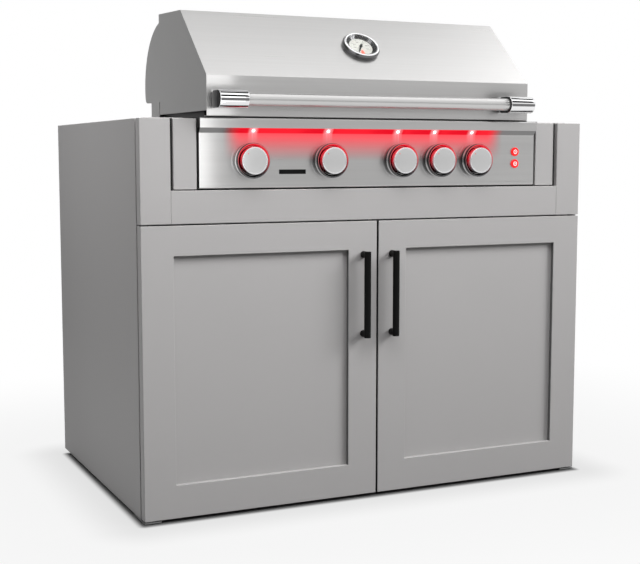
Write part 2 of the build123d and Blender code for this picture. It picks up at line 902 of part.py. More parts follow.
def switch_bodies():
    barrel = rod((0, 0, -switch_barrel_length), (0, 0, 0), switch_barrel_radius)
    barrel += rod((0, 0, 0), (0, 0, switch_flange), switch_flange_radius)
    barrel = fillet(barrel.edges().group_by(Axis.Z)[-1], switch_flange / 3)
    cup_floor = -switch_barrel_length + switch_back
    barrel -= rod((0, 0, cup_floor), (0, 0, switch_flange), button_radius + running)
    return [facing_front(x, panel_y, z) * barrel for x, z in switch_places()]


def light_button(x, z):
    front = switch_flange + button_proud
    button = rod((0, 0, front - button_length), (0, 0, front), button_radius)
    button = fillet(button.edges().group_by(Axis.Z)[-1], button_proud / 2)
    return facing_front(x, panel_y, z) * button


def hood_bumpers():
    x = hood_half - bumper_inset
    y = hood_front + hood_hem / 2
    top = hood_bottom - end_play
    return [rod((side * x, y, deck_top), (side * x, y, top), bumper_radius) for side in SIDES]


def hood_outline(rear):
    """(y, z) corners of the hood's outer face, from its rear edge over the top to the front hem."""
    slant = top_rise / top_depth
    return [
        (rear, slope_top_z + slant * (rear - slope_top_y)),
        (slope_top_y, slope_top_z),
        (hood_front, knee_z),
        (hood_front, hood_bottom),
        (hood_front + hood_hem, hood_bottom),
    ]


def gauge_place():
    """The middle of the sloped front, with +Z pointing out of it and +Y up the slope."""
    middle = (0, hood_front + slope_run / 2, knee_z + slope_rise / 2)
    return Plane(origin=middle, x_dir=(1, 0, 0), z_dir=(0, -slope_rise, slope_run))


def hood_skin():
    skin = folded_sheet(hood_outline(hood_rear), hood_half)
    return skin - gauge_place() * Cylinder(gauge_stem_radius + gauge_hole_play, 4 * sheet)


def hood_sides():
    """Flat end plates inside the folded skin, each with a pivot pad welded to its inner face."""
    points = hood_outline(hood_rear + hood_hem)
    around = Polyline(points[-1], (points[0][0], hood_bottom), points[0])
    inside = offset(make_face([FilletPolyline(*points, radius=bend_radius), around]), -sheet)
    inside &= area((hood_front, hood_rear), (side_bottom, hood_top))
    sides = []
    for side in SIDES:
        inner = side * (hood_half - sheet)
        plate = plate_across(inside, inner, sheet)
        pad_start = (inner - side * hinge_pad, hinge_y, hinge_z)
        pad = ring(pad_start, (inner, hinge_y, hinge_z), hinge_pad_radius, hinge_pin_radius + running)
        sides.append(plate + pad)
    return sides


def hood_handle_bar():
    end = handle_half - post_length + bar_socket
    return rod((-end, handle_y, handle_z), (end, handle_y, handle_z), bar_radius)


def hood_handle_posts():
    """Blocks with a round front that carry the ends of the bar and stand on the hood."""
    section = area((handle_y, hood_front), (handle_z - post_radius, handle_z + post_radius))
    section = fillet(section.vertices().group_by(Axis.X)[-1], post_heel_round)
    section += Pos(handle_y, handle_z) * Circle(post_radius)
    posts = []
    for side in SIDES:
        inner = side * (handle_half - post_length)
        post = plate_across(section, inner, post_length)
        ends = post.edges().group_by(Axis.X)
        post = fillet(ends[0] + ends[-1], post_round)
        socket_end = (inner + side * bar_socket, handle_y, handle_z)
        posts.append(post - rod((inner, handle_y, handle_z), socket_end, bar_radius))
    return posts


def gauge_bezel():
    """The gauge case: a cup that narrows to the dial, a rim over the glass, and the probe stem behind."""
    case = rod((0, 0, 0), (0, 0, gauge_height), gauge_radius)
    case = fillet(case.edges().group_by(Axis.Z)[-1], gauge_round)
    dial_top = gauge_base + dial_thickness
    glass_top = gauge_height - glass_cover
    glass_bottom = glass_top - glass_thickness
    funnel = Cone(dial_radius, funnel_radius, glass_bottom - dial_top)
    case -= rod((0, 0, gauge_base), (0, 0, dial_top), dial_radius)
    case -= Pos(0, 0, (dial_top + glass_bottom) / 2) * funnel
    case -= rod((0, 0, glass_bottom), (0, 0, glass_top), funnel_radius + glass_seat)
    case -= rod((0, 0, glass_top), (0, 0, gauge_height), funnel_radius)
    case += rod((0, 0, -gauge_stem_length), (0, 0, 0), gauge_stem_radius)
    return gauge_place() * case


def gauge_dial():
    top = gauge_base + dial_thickness
    disc = rod((0, 0, gauge_base), (0, 0, top), dial_radius)
    return gauge_place() * (disc - rod((0, 0, gauge_base), (0, 0, top), needle_pin_radius + running))


def gauge_glass():
    top = gauge_height - glass_cover
    return gauge_place() * rod((0, 0, top - glass_thickness), (0, 0, top), funnel_radius + glass_seat)


def gauge_needle():
    """The pointer, which rests at the cold end of the scale."""
    low = gauge_base + dial_thickness + needle_lift
    high = low + needle_thickness
    blade = block((-needle_half_width, needle_half_width), (-needle_length, needle_tail), (low, high))
    hub = rod((0, 0, low), (0, 0, high + needle_thickness), needle_hub_radius)
    pin = rod((0, 0, gauge_base + needle_lift), (0, 0, low), needle_pin_radius)
    return gauge_place() * Rot(0, 0, -needle_rest) * (blade + hub + pin)


def drip_tray():
    """An open tray that hangs by its side flanges in the runners, with a grip at the front."""
    y = (tray_front_y, tray_front_y + tray_length)
    tray = block((-tray_half, tray_half), y, (tray_bottom, tray_top))
    flange_half = tray_half + tray_flange
    tray += block((-flange_half, flange_half), y, (tray_top - sheet, tray_top))
    grip_half = tray_grip_width / 2
    tray += block((-grip_half, grip_half), (y[0] - tray_grip, y[0]), (tray_top - sheet, tray_top))
    inside_y = (y[0] + sheet, y[1] - sheet)
    return tray - block((-tray_half + sheet, tray_half - sheet), inside_y, (tray_bottom + sheet, tray_top))


def all_parts():
    """Every node of the object by name: one solid, or a list of separate solids."""
    parts = {
        "left_side_panel": side_panel(-1),
        "right_side_panel": side_panel(1),
        "back_panel": back_panel(),
        "floor_panel": floor_panel(),
        "levelling_feet": levelling_feet(),
        "deck_boards": deck_boards(),
        "front_boards": front_boards(),
        "cross_rail": cross_rail(),
        "front_rail": front_rail(),
        "front_stiles": front_stiles(),
        "filler_strips": filler_strips(),
        "front_spacers": front_spacers(),
        "door_pivots": door_pivots(),
        "door_catches": door_catches(),
        "firebox": firebox(),
        "control_panel": control_panel(),
        "panel_lights": panel_lights(),
        "knob_bezels": knob_bezels(),
        "gas_valves": gas_valves(),
        "gas_manifold": gas_manifold(),
        "burners": burners(),
        "flame_tamers": flame_tamers(),
        "cooking_grates": cooking_grates(),
        "warming_rack": warming_rack(),
        "rear_housing": rear_housing(),
        "rear_burner": rear_burner(),
        "hood_pivot_pins": hood_pivot_pins(),
        "hood_bumpers": hood_bumpers(),
        "switch_bodies": switch_bodies(),
        "hood_skin": hood_skin(),
        "hood_sides": hood_sides(),
        "hood_handle_bar": hood_handle_bar(),
        "hood_handle_posts": hood_handle_posts(),
        "gauge_bezel": gauge_bezel(),
        "gauge_dial": gauge_dial(),
        "gauge_glass": gauge_glass(),
        "gauge_needle": gauge_needle(),
        "drip_tray": drip_tray(),
    }
    for name, side in (("left", -1), ("right", 1)):
        parts[f"{name}_door_frame"] = door_frame(side)
        parts[f"{name}_door_panel"] = door_panel(side)
        parts[f"{name}_door_handle"] = door_handle(side)
        parts[f"{name}_door_fixings"] = door_fixings(side)
        parts[f"{name}_door_bushes"] = door_bushes(side)
    for number, x in enumerate(knob_places, 1):
        parts[f"knob_{number}"] = knob(x)
        parts[f"valve_plug_{number}"] = valve_plug(x)
    for name, (x, z) in zip(("upper", "lower"), switch_places()):
        parts[f"{name}_light_button"] = light_button(x, z)
    return parts


def main():
    os.makedirs("parts", exist_ok=True)
    for name, shape in all_parts().items():
        solids = shape if isinstance(shape, list) else [shape]
        pieces = [piece for item in solids for piece in item.solids()]
        whole = pieces[0] if len(pieces) == 1 else Compound(children=pieces)
        whole.label = name
        export_step(whole, f"parts/{name}.step")
        print(name, len(pieces), "solids")


if __name__ == "__main__":
    main()
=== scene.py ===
# %% [markdown]
# # A grill in its own cabinet
#
# The shapes and joints of this object come from a CAD model. This script gives every surface its finish,
# makes the round parts again with finer curves, adds the small parts that CAD leaves out, and sets up a
# plain white studio. The CAD model is loaded first, as a frame that isn't moved: all sizes are in metres,
# the doors face -Y and the floor is at Z = 0.

# %% Load the frame
import json
import math

import bmesh
import bpy
from mathutils import Matrix, Vector


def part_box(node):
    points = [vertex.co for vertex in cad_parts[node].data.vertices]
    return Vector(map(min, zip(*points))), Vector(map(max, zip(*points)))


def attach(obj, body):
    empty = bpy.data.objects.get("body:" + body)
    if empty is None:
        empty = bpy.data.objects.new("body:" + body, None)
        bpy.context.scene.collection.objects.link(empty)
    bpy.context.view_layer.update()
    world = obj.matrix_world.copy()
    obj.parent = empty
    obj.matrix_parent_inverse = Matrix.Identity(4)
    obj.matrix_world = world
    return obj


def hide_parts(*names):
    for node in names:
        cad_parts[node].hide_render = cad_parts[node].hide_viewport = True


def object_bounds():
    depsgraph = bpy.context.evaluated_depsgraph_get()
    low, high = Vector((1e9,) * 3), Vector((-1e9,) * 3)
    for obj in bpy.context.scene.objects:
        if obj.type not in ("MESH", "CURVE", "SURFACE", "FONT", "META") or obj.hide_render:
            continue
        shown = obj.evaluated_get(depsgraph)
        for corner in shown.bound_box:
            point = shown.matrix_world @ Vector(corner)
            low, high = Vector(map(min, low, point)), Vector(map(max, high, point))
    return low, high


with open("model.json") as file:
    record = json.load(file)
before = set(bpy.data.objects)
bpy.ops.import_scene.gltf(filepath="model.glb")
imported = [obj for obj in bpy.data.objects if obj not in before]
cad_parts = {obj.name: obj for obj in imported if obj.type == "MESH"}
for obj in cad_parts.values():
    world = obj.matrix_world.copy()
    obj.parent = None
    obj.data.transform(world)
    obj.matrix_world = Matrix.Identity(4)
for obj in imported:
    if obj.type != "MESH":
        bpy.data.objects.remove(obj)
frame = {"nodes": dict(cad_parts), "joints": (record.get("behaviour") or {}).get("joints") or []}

cad_box = [list(corner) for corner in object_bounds()]
nodes = frame["nodes"]
MM = 0.001

# %% [markdown]
# ## Places that the frame gives
#
# A knob turns about a joint, so the joint's place is the knob's middle. The gauge is read from its
# needle's joint in the same way, and the lights are the separate lumps of their node along X. Nothing has
# to be measured again.

# %% Read places from the frame
joints = {joint["name"]: joint for joint in frame["joints"]}
knob_names = [f"knob_{number}" for number in range(1, 6)]
knob_axes = [Vector(joints[name.replace("knob", "valve") + "_turn"]["pos_m"]) for name in knob_names]
gauge_middle = Vector(joints["gauge_needle_turn"]["pos_m"])
gauge_out = -Vector(joints["gauge_needle_turn"]["axis"]).normalized()
panel_low, panel_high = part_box("control_panel")
panel_face_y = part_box("knob_bezels")[1].y
door_front_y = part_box("left_door_frame")[0].y


def middles_along_x(node, gap=20 * MM):
    """The middle of each separate lump of a node, where a gap along X parts two lumps."""
    places = sorted(vertex.co.x for vertex in nodes[node].data.vertices)
    lumps = [[places[0]]]
    for x in places[1:]:
        if x - lumps[-1][-1] > gap:
            lumps.append([])
        lumps[-1].append(x)
    return [(lump[0] + lump[-1]) / 2 for lump in lumps]


light_places = middles_along_x("panel_lights")
print("knobs at", [round(axis.x, 3) for axis in knob_axes], "lights at", [round(x, 3) for x in light_places])

# %% [markdown]
# ## Shader maths as plain arithmetic
#
# A material is a graph of nodes, and wiring it by hand hides what it works out. `Value` wraps one output
# socket, so that `1 - mask * 0.5` adds the Math nodes by itself. `Graph.node` adds any other node: its
# settings are set first, then its sockets get numbers, colours or links.


# %% Wrap sockets and graphs
class Value:
    """One output socket, on which Python's operators add Math nodes."""

    def __init__(self, graph, socket):
        self.graph = graph
        self.socket = socket

    def __add__(self, other):
        return self.graph.maths("ADD", self, other)

    def __sub__(self, other):
        return self.graph.maths("SUBTRACT", self, other)

    def __rsub__(self, other):
        return self.graph.maths("SUBTRACT", other, self)

    def __mul__(self, other):
        return self.graph.maths("MULTIPLY", self, other)

    def __truediv__(self, other):
        return self.graph.maths("DIVIDE", self, other)

    def __pow__(self, other):
        return self.graph.maths("POWER", self, other)

    __radd__ = __add__
    __rmul__ = __mul__


class Graph:
    """The node tree of one material or of the world."""

    def __init__(self, tree):
        self.tree = tree

    def node(self, kind, settings=None, inputs=None, output=0):
        made = self.tree.nodes.new(kind)
        for name, value in (settings or {}).items():
            setattr(made, name, value)
        self.feed(made, inputs or {})
        outputs = [socket for socket in made.outputs if socket.enabled]
        return Value(self, made.outputs[output] if isinstance(output, str) else outputs[output])

    def feed(self, made, inputs):
        for name, value in inputs.items():
            numbered = isinstance(name, int)
            named = [socket for socket in made.inputs if socket.enabled and socket.name == name]
            socket = made.inputs[name] if numbered else named[0]
            if isinstance(value, Value):
                self.tree.links.new(value.socket, socket)
            else:
                socket.default_value = value

    def maths(self, operation, first, second=0.0, clamp=False):
        settings = {"operation": operation, "use_clamp": clamp}
        return self.node("ShaderNodeMath", settings, {0: first, 1: second})

    def place(self):
        return self.node("ShaderNodeTexCoord", output="Object")

    def noise(self, scale, detail=2.0, stretch=(1, 1, 1)):
        """Noise of about one bump per 1 / scale metres, longer along an axis whose stretch is small."""
        turned = self.node("ShaderNodeMapping", inputs={"Vector": self.place(), "Scale": stretch})
        return self.node("ShaderNodeTexNoise", inputs={"Vector": turned, "Scale": scale, "Detail": detail})

    def noise_along(self, value, scale):
        """Noise that only changes with one value."""
        return self.node("ShaderNodeTexNoise", {"noise_dimensions": "1D"}, {"W": value, "Scale": scale})

    def soft_step(self, value, low, high):
        """0 below low, 1 above high and a smooth run between."""
        settings = {"interpolation_type": "SMOOTHSTEP"}
        return self.node("ShaderNodeMapRange", settings, {"Value": value, "From Min": low, "From Max": high})

    def blend(self, factor, first, second):
        """A colour between two colours."""
        settings = {"data_type": "RGBA"}
        return self.node("ShaderNodeMix", settings, {"Factor": factor, "A": first, "B": second})

    def bump(self, height, distance, strength=1.0):
        inputs = {"Height": height, "Distance": distance, "Strength": strength}
        return self.node("ShaderNodeBump", inputs=inputs)

    def parts_of(self, vector):
        """The x, y and z of a vector as three values."""
        made = self.node("ShaderNodeSeparateXYZ", inputs={"Vector": vector}).socket.node
        return [Value(self, socket) for socket in made.outputs]


def grey(level):
    return (level, level, level, 1)


def shaded(colour, share):
    """A colour made darker or lighter by a share."""
    return (*(level * share for level in colour), 1)


def new_material(name):
    """A material's graph and its Principled shader."""
    material = bpy.data.materials.new(name)
    material.use_nodes = True
    graph = Graph(material.node_tree)
    graph.material = material
    graph.shader = material.node_tree.nodes["Principled BSDF"]
    return graph


print("shader helpers ready")

# %% [markdown]
# ## Grey cabinet boards
#
# The boards are sprayed with a satin grey. Such paint is never one flat colour: the film is a little
# thicker here and there, and its skin has the fine dimples of sprayed paint. Two noises give both, far
# below what the eye picks out. The upright walls of the door recesses are narrow and turned away from the
# lamps, and should look like fine dark lines. The room's light alone leaves them too pale, so the paint is
# darker there. Their place along X and Y tells the material where they are.


# %% Cabinet paint
wall_front = (0.5 * MM, 1.0 * MM)
wall_back = (8.6 * MM, 8.8 * MM)
wall_reach = (0.2 * MM, 0.4 * MM)


def recess_walls(side):
    """The x of the two upright walls of a door's recess."""
    places = [vertex.co.x for vertex in nodes[f"{side}_door_frame"].data.vertices]
    middle = (min(places) + max(places)) / 2
    return [max(x for x in places if x < middle), min(x for x in places if x > middle)]


def cabinet_paint():
    graph = new_material("cabinet paint")
    cloud = graph.noise(3.0, 3.0)
    speckle = graph.noise(900.0, 1.0)
    colour = graph.blend(cloud * 0.7 + speckle * 0.3, (0.405, 0.396, 0.395, 1), (0.438, 0.428, 0.427, 1))
    x, y, z = graph.parts_of(graph.place())
    behind = y - door_front_y
    in_recess = graph.soft_step(behind, *wall_front) * (1 - graph.soft_step(behind, *wall_back))
    on_wall = 0.0
    for place in recess_walls("left") + recess_walls("right"):
        distance = graph.maths("ABSOLUTE", x - place)
        on_wall = on_wall + (1 - graph.soft_step(distance, *wall_reach))
    colour = graph.blend(on_wall * in_recess, colour, grey(0.13))
    graph.feed(graph.shader, {
        "Base Color": colour,
        "Roughness": 0.44 + cloud * 0.10,
        "Normal": graph.bump(speckle, 0.00003),
        "Specular IOR Level": 0.4,
    })
    return graph.material


PAINT = cabinet_paint()
print("made", PAINT.name)

# %% [markdown]
# ## Brushed stainless steel
#
# Stainless sheet is brushed along its length, here along X. The scratches are long in X and under a
# millimetre across, so a noise that is stretched along X stands for them. As a bump it spreads reflections
# up and down but not sideways, which is what makes brushed steel look brushed. A broader noise changes the
# roughness from place to place.

# %% Brushed steel
ALONG_X = (0.006, 1, 1)
ALONG_Y = (1, 0.02, 1)
STEEL_COLOUR = (0.62, 0.615, 0.61)


def brushed(name, colour, roughness, stretch=ALONG_X, depth=0.00006):
    """Steel with scratches along the axis whose stretch is small."""
    graph = new_material(name)
    scratch = graph.noise(1600.0, 2.0, stretch)
    streak = graph.noise(260.0, 3.0, stretch)
    cloud = graph.noise(4.0, 2.0)
    graph.colour = graph.blend(streak, shaded(colour, 0.90), shaded(colour, 1.0))
    graph.feed(graph.shader, {
        "Base Color": graph.colour,
        "Metallic": 1.0,
        "Roughness": roughness + streak * 0.10 + cloud * 0.06 - 0.08,
        "Normal": graph.bump(scratch, depth),
    })
    return graph


STEEL = brushed("brushed steel", STEEL_COLOUR, 0.30).material
ROD_STEEL = brushed("bright rod", (0.60, 0.59, 0.58), 0.28, ALONG_Y).material
BURNER_STEEL = brushed("burner tube and tray", (0.46, 0.44, 0.41), 0.36, ALONG_Y).material
print("made", STEEL.name, ROD_STEEL.name, BURNER_STEEL.name)

# %% [markdown]
# ## The lit control panel
#
# Five small red lights sit under the panel's lip. Their wash on the steel below them is painted light: a
# painted glow in the panel's emission and a red tint in its colour. The light is strongest on the sloped
# band, runs evenly from the first light to the last, and is gone halfway down the panel. It is painted on
# the panel, so it is worked out from Object coordinates: a window along X, a fall-off down Z, and a narrow
# beam with fine rays under each light. The band faces down, and where it isn't lit it gets painted shade,
# darker than the rest of the panel.

# %% Panel steel with its painted red wash
lip_height = 20 * MM
band_height = 10.5 * MM
band_top = panel_high.z - lip_height
wash_reach = 57 * MM
wash_left = light_places[0] - 46 * MM
wash_right = light_places[-1] + 62 * MM
wash_edge = 22 * MM
beam_half = 12.5 * MM
RED_LIGHT = (0.82, 0.002, 0.016, 1)
PINK_LIGHT = (1.0, 0.075, 0.100, 1)
HOT_LIGHT = (1.0, 0.62, 0.66, 1)


def panel_steel_with_painted_light():
    graph = brushed("panel steel with painted red light", STEEL_COLOUR, 0.30)
    x, y, z = graph.parts_of(graph.place())
    left = graph.soft_step(x, wash_left - wash_edge, wash_left + wash_edge)
    right = graph.soft_step(x, wash_right - wash_edge, wash_right + wash_edge)
    under_lip = 1 - graph.soft_step(z, band_top - 0.6 * MM, band_top + 0.6 * MM)
    on_band = under_lip * graph.soft_step(z, band_top - band_height - 1 * MM, band_top - band_height + 1 * MM)
    depth = graph.maths("DIVIDE", band_top - band_height - z, wash_reach, clamp=True)
    fade = (1 - depth) ** 1.3
    wash = left * (1 - right) * under_lip * fade
    beams = 0.0
    for place in light_places:
        beams = beams + graph.maths("SUBTRACT", 1.0, ((x - place) / beam_half) ** 2, clamp=True)
    rays = graph.noise_along(x, 260.0) * beams * (1 - depth) ** 3
    hot = graph.maths("MULTIPLY", beams ** 4, on_band, clamp=True)
    # Painted shade: the band is darker where the wash doesn't reach it.
    plain = graph.blend(on_band * 0.75, graph.colour, grey(0.12))
    # Painted light: the red glow is emission, and the colour gets a red tint under it.
    glow = graph.blend(on_band, PINK_LIGHT, RED_LIGHT)
    glow = graph.blend(graph.maths("MULTIPLY", rays, 0.8, clamp=True), glow, HOT_LIGHT)
    glow = graph.blend(hot * 0.75, glow, HOT_LIGHT)
    graph.feed(graph.shader, {
        "Base Color": graph.blend(wash ** 0.7 * 0.97, plain, (0.30, 0.01, 0.015, 1)),
        "Emission Color": graph.blend(wash, grey(0.0), glow),
        "Emission Strength": 0.92,
    })
    return graph.material


PAINTED_LIGHT_PANEL_STEEL = panel_steel_with_painted_light()
print("red wash from", round(wash_left, 3), "to", round(wash_right, 3))

# %% [markdown]
# ## Bright trim, knobs and dark parts
#
# Rings, handle ends and the gauge case are polished and plated, so they only need a low roughness and a
# few faint smears. The plating comes in several depths, from bright to nearly black, and the darker and
# lighter ones paint light and shade into it: the darkest is painted shade and dark reflection, a grey one
# is a painted grey reflection, a silver one is a painted glint, and the one for the rims of the rings holds
# a painted glow of the red lights. The face of a knob is turned on a lathe: its scratches run round the
# axis, so its noise reads the distance from that axis. The dark plastics, the enamel and the black pulls
# get a fine grain.


# %% Plated, turned and moulded finishes
def plated(name, colour, roughness):
    graph = new_material(name)
    smear = graph.noise(45.0, 3.0)
    graph.feed(graph.shader, {
        "Base Color": graph.blend(smear, shaded(colour, 0.96), shaded(colour, 1.0)),
        "Metallic": 1.0,
        "Roughness": roughness + smear * 0.04,
    })
    return graph.material


def turned_face(name, axis):
    """Satin metal whose scratches run round a knob's axis."""
    graph = new_material(name)
    x, y, z = graph.parts_of(graph.place())
    radius = ((x - axis.x) ** 2 + (z - axis.z) ** 2) ** 0.5
    rings = graph.noise_along(radius, 2600.0)
    graph.feed(graph.shader, {
        "Base Color": graph.blend(rings, grey(0.60), grey(0.70)),
        "Metallic": 1.0,
        "Roughness": 0.36 + rings * 0.12,
        "Normal": graph.bump(rings, 0.00002),
    })
    return graph.material


def plating_with_painted_glow(name, colour, roughness, middle_z):
    """Plating with a painted glow of the red lights from above, fading out below a height."""
    graph = new_material(name)
    smear = graph.noise(45.0, 3.0)
    x, y, z = graph.parts_of(graph.place())
    painted_glow_share = graph.soft_step(z, middle_z - 30 * MM, middle_z + 22 * MM)
    graph.feed(graph.shader, {
        "Base Color": graph.blend(smear, shaded(colour, 0.90), shaded(colour, 1.0)),
        "Metallic": 1.0,
        "Roughness": roughness + smear * 0.04,
        "Emission Color": graph.blend(painted_glow_share, grey(0.0), RED_LIGHT),
        "Emission Strength": 0.75,
    })
    return graph.material


def moulded(name, colour, roughness, grain=1400.0, depth=0.00004, shine=0.5):
    graph = new_material(name)
    fine = graph.noise(grain, 2.0)
    cloud = graph.noise(25.0, 2.0)
    pale = tuple(level * 1.25 + 0.002 for level in colour)
    graph.feed(graph.shader, {
        "Base Color": graph.blend(cloud * 0.6 + fine * 0.4, (*colour, 1), (*pale, 1)),
        "Roughness": roughness + fine * 0.10,
        "Normal": graph.bump(fine, depth),
        "Specular IOR Level": shine,
    })
    return graph.material


# Only the bright plating is the parts' own: the darker ones are painted shade and reflections, the silver one
# a painted glint and the ring plating a painted red glow.
CHROME = plated("bright plating", (0.86, 0.86, 0.87), 0.03)
PAINTED_SHADE_PLATING = plated("plating with painted shade and dark reflection", (0.04, 0.04, 0.041), 0.05)
PAINTED_GREY_REFLECTION_PLATING = plated("plating with painted grey reflection", (0.17, 0.17, 0.173), 0.05)
PAINTED_GLINT_PLATING = plated("plating with painted glint", (0.60, 0.60, 0.607), 0.05)
PAINTED_GLOW_PLATING = plating_with_painted_glow("plating with painted red glow", (0.25, 0.25, 0.255), 0.06, knob_axes[0].z)
PIN_STEEL = plated("turned pins", (0.30, 0.30, 0.30), 0.32)
BRASS = plated("valve brass", (0.72, 0.53, 0.24), 0.24)
BLACK_PULL = moulded("black pull", (0.0015, 0.0015, 0.0015), 0.42, shine=0.10)
BLACK_ENAMEL = moulded("black enamel", (0.010, 0.010, 0.010), 0.30, 500.0, 0.00006)
BLACK_PLASTIC = moulded("black plastic", (0.016, 0.016, 0.017), 0.50)
NYLON = moulded("dark nylon", (0.055, 0.055, 0.057), 0.42)
RUBBER = moulded("black rubber", (0.010, 0.010, 0.010), 0.75)
TILE = moulded("burner tile", (0.55, 0.45, 0.36), 0.80, 160.0, 0.0012)
CREAM = moulded("dial face", (0.38, 0.383, 0.355), 0.50)
PRINT = moulded("dial print", (0.004, 0.004, 0.004), 0.60, shine=0.1)
RED_PRINT = moulded("red print", (0.85, 0.075, 0.035), 0.45)
BLACK_PLATE = moulded("black plate", (0.003, 0.003, 0.003), 0.40, shine=0.10)
print("made", CHROME.name, BRASS.name, BLACK_PULL.name, CREAM.name)

# %% [markdown]
# ## Lit lenses and glass
#
# A lit lens shows its own light more than the room's. The lights are nearly white in the picture because
# they are so bright, and the buttons glow evenly red. The gauge glass is thin, clear and coated, so it
# hardly mirrors the white room. A transmission shader with a low index of refraction gives that.


# %% Lenses and glass
def lit_lens(name, colour, strength):
    graph = new_material(name)
    grain = graph.noise(700.0, 1.0)
    light = graph.blend(grain, shaded(colour, 0.85), shaded(colour, 1.0))
    graph.feed(graph.shader, {
        "Base Color": light,
        "Roughness": 0.20 + grain * 0.1,
        "Emission Color": light,
        "Emission Strength": strength,
    })
    return graph.material


def clear_glass():
    graph = new_material("gauge glass")
    smear = graph.noise(60.0, 2.0)
    graph.feed(graph.shader, {
        "Base Color": grey(1.0),
        "Roughness": smear * 0.02,
        "Transmission Weight": 1.0,
        "IOR": 1.15,
    })
    return graph.material


LIGHT_LENS = lit_lens("panel light", (1.0, 0.80, 0.82), 3.0)
BUTTON_LENS = lit_lens("button red", (0.90, 0.020, 0.022), 0.45)
MARK_LENS = lit_lens("button mark", (1.0, 0.85, 0.85), 0.5)
GLASS = clear_glass()
print("made", LIGHT_LENS.name, BUTTON_LENS.name, GLASS.name)

# %% [markdown]
# ## Give the CAD nodes their finish
#
# The flat nodes keep their CAD shape and only get a material. They are listed by finish. The round ones
# that a viewer sees close up are left out here, because the next steps make them again.

# %% Paint the nodes
node_finishes = {
    "left_side_panel right_side_panel back_panel floor_panel deck_boards front_boards": PAINT,
    "cross_rail front_rail front_stiles filler_strips": PAINT,
    "left_door_frame left_door_panel right_door_frame right_door_panel": PAINT,
    "levelling_feet front_spacers door_catches": BLACK_PLASTIC,
    "door_pivots hood_pivot_pins left_door_fixings right_door_fixings": PIN_STEEL,
    "left_door_bushes right_door_bushes": NYLON,
    "control_panel": PAINTED_LIGHT_PANEL_STEEL,
    "rear_housing hood_skin hood_sides": STEEL,
    "firebox": BLACK_ENAMEL,
    "burners gas_manifold flame_tamers drip_tray": BURNER_STEEL,
    "cooking_grates warming_rack": ROD_STEEL,
    "rear_burner": TILE,
    "gas_valves valve_plug_1 valve_plug_2 valve_plug_3 valve_plug_4 valve_plug_5": BRASS,
    "panel_lights": LIGHT_LENS,
    "hood_bumpers": RUBBER,
    "gauge_dial": CREAM,
    "gauge_glass": GLASS,
}
painted = set()
for names, material in node_finishes.items():
    for name in names.split():
        nodes[name].data.materials.clear()
        nodes[name].data.materials.append(material)
        painted.add(name)
print("painted", len(painted), "nodes, to be made again:", sorted(set(nodes) - painted))

# %% [markdown]
# ## Turning, rods and plates
#
# Most of the small parts are lathe work. A profile is a short chain of points, each a radius and a height.
# Its corners are rounded by a vertex bevel while it is still flat, and a full spin about Z makes the
# solid. Rods and plates come from a cone and a cube with bevelled edges. A piece is put in its place by
# moving its mesh, because a finished object stays at the origin.


# %% Shape helpers
def finish_piece(name, shape, material, body, stands_for=()):
    """Turns a bmesh into a piece of the object that rides a body."""
    mesh = bpy.data.meshes.new(name)
    for face in shape.faces:
        face.smooth = True
    shape.to_mesh(mesh)
    shape.free()
    mesh.set_sharp_from_angle(angle=math.radians(30))
    mesh.materials.append(material)
    piece = bpy.data.objects.new(name, mesh)
    bpy.context.scene.collection.objects.link(piece)
    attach(piece, body)
    if stands_for:
        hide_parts(*stands_for)
    return piece


def refinish(piece, material, chosen):
    """Gives another material to the faces that a test picks."""
    piece.data.materials.append(material)
    for face in piece.data.polygons:
        if chosen(face):
            face.material_index = len(piece.data.materials) - 1


def round_edges(shape, edges, size, segments=4):
    bmesh.ops.bevel(
        shape, geom=edges, offset=size, affect="EDGES", segments=segments, profile=0.5, material=-1,
        clamp_overlap=True,
    )


def edges_across(shape, length):
    """The edges at the two ends of a shape that is as long as length along Z."""
    return [edge for edge in shape.edges if abs(edge.verts[0].co.z - edge.verts[1].co.z) < length / 2]


def turned(profile, corner=0.0, steps=128):
    """A bmesh spun about Z from (radius, height) points in millimetres."""
    shape = bmesh.new()
    chain = [shape.verts.new((radius * MM, 0, height * MM)) for radius, height in profile]
    for pair in zip(chain, chain[1:]):
        shape.edges.new(pair)
    if corner:
        bmesh.ops.bevel(
            shape, geom=chain[1:-1], offset=corner * MM, affect="VERTICES", segments=4, profile=0.5,
            material=-1,
        )
    geometry = shape.verts[:] + shape.edges[:]
    bmesh.ops.spin(
        shape, geom=geometry, axis=(0, 0, 1), cent=(0, 0, 0), angle=math.tau, steps=steps, use_merge=True
    )
    bmesh.ops.remove_doubles(shape, verts=shape.verts[:], dist=0.002 * MM)
    bmesh.ops.recalc_face_normals(shape, faces=shape.faces[:])
    return shape


def rod(start, end, radius, corner=0.0, segments=64):
    """A round bar between two points, with its end edges rounded."""
    axis = Vector(end) - Vector(start)
    shape = bmesh.new()
    bmesh.ops.create_cone(
        shape, cap_ends=True, segments=segments, radius1=radius, radius2=radius, depth=axis.length
    )
    if corner:
        round_edges(shape, edges_across(shape, axis.length), corner)
    turn = axis.to_track_quat("Z", "Y").to_matrix().to_4x4()
    shape.transform(Matrix.Translation((Vector(start) + Vector(end)) / 2) @ turn)
    return shape


def plate(low, high, corner=0.0):
    """A box between two corners, with its edges rounded."""
    shape = bmesh.new()
    bmesh.ops.create_cube(shape, size=1.0)
    bmesh.ops.scale(shape, vec=Vector(high) - Vector(low), verts=shape.verts[:])
    bmesh.ops.translate(shape, vec=(Vector(low) + Vector(high)) / 2, verts=shape.verts[:])
    if corner:
        round_edges(shape, shape.edges[:], corner, 3)
    return shape


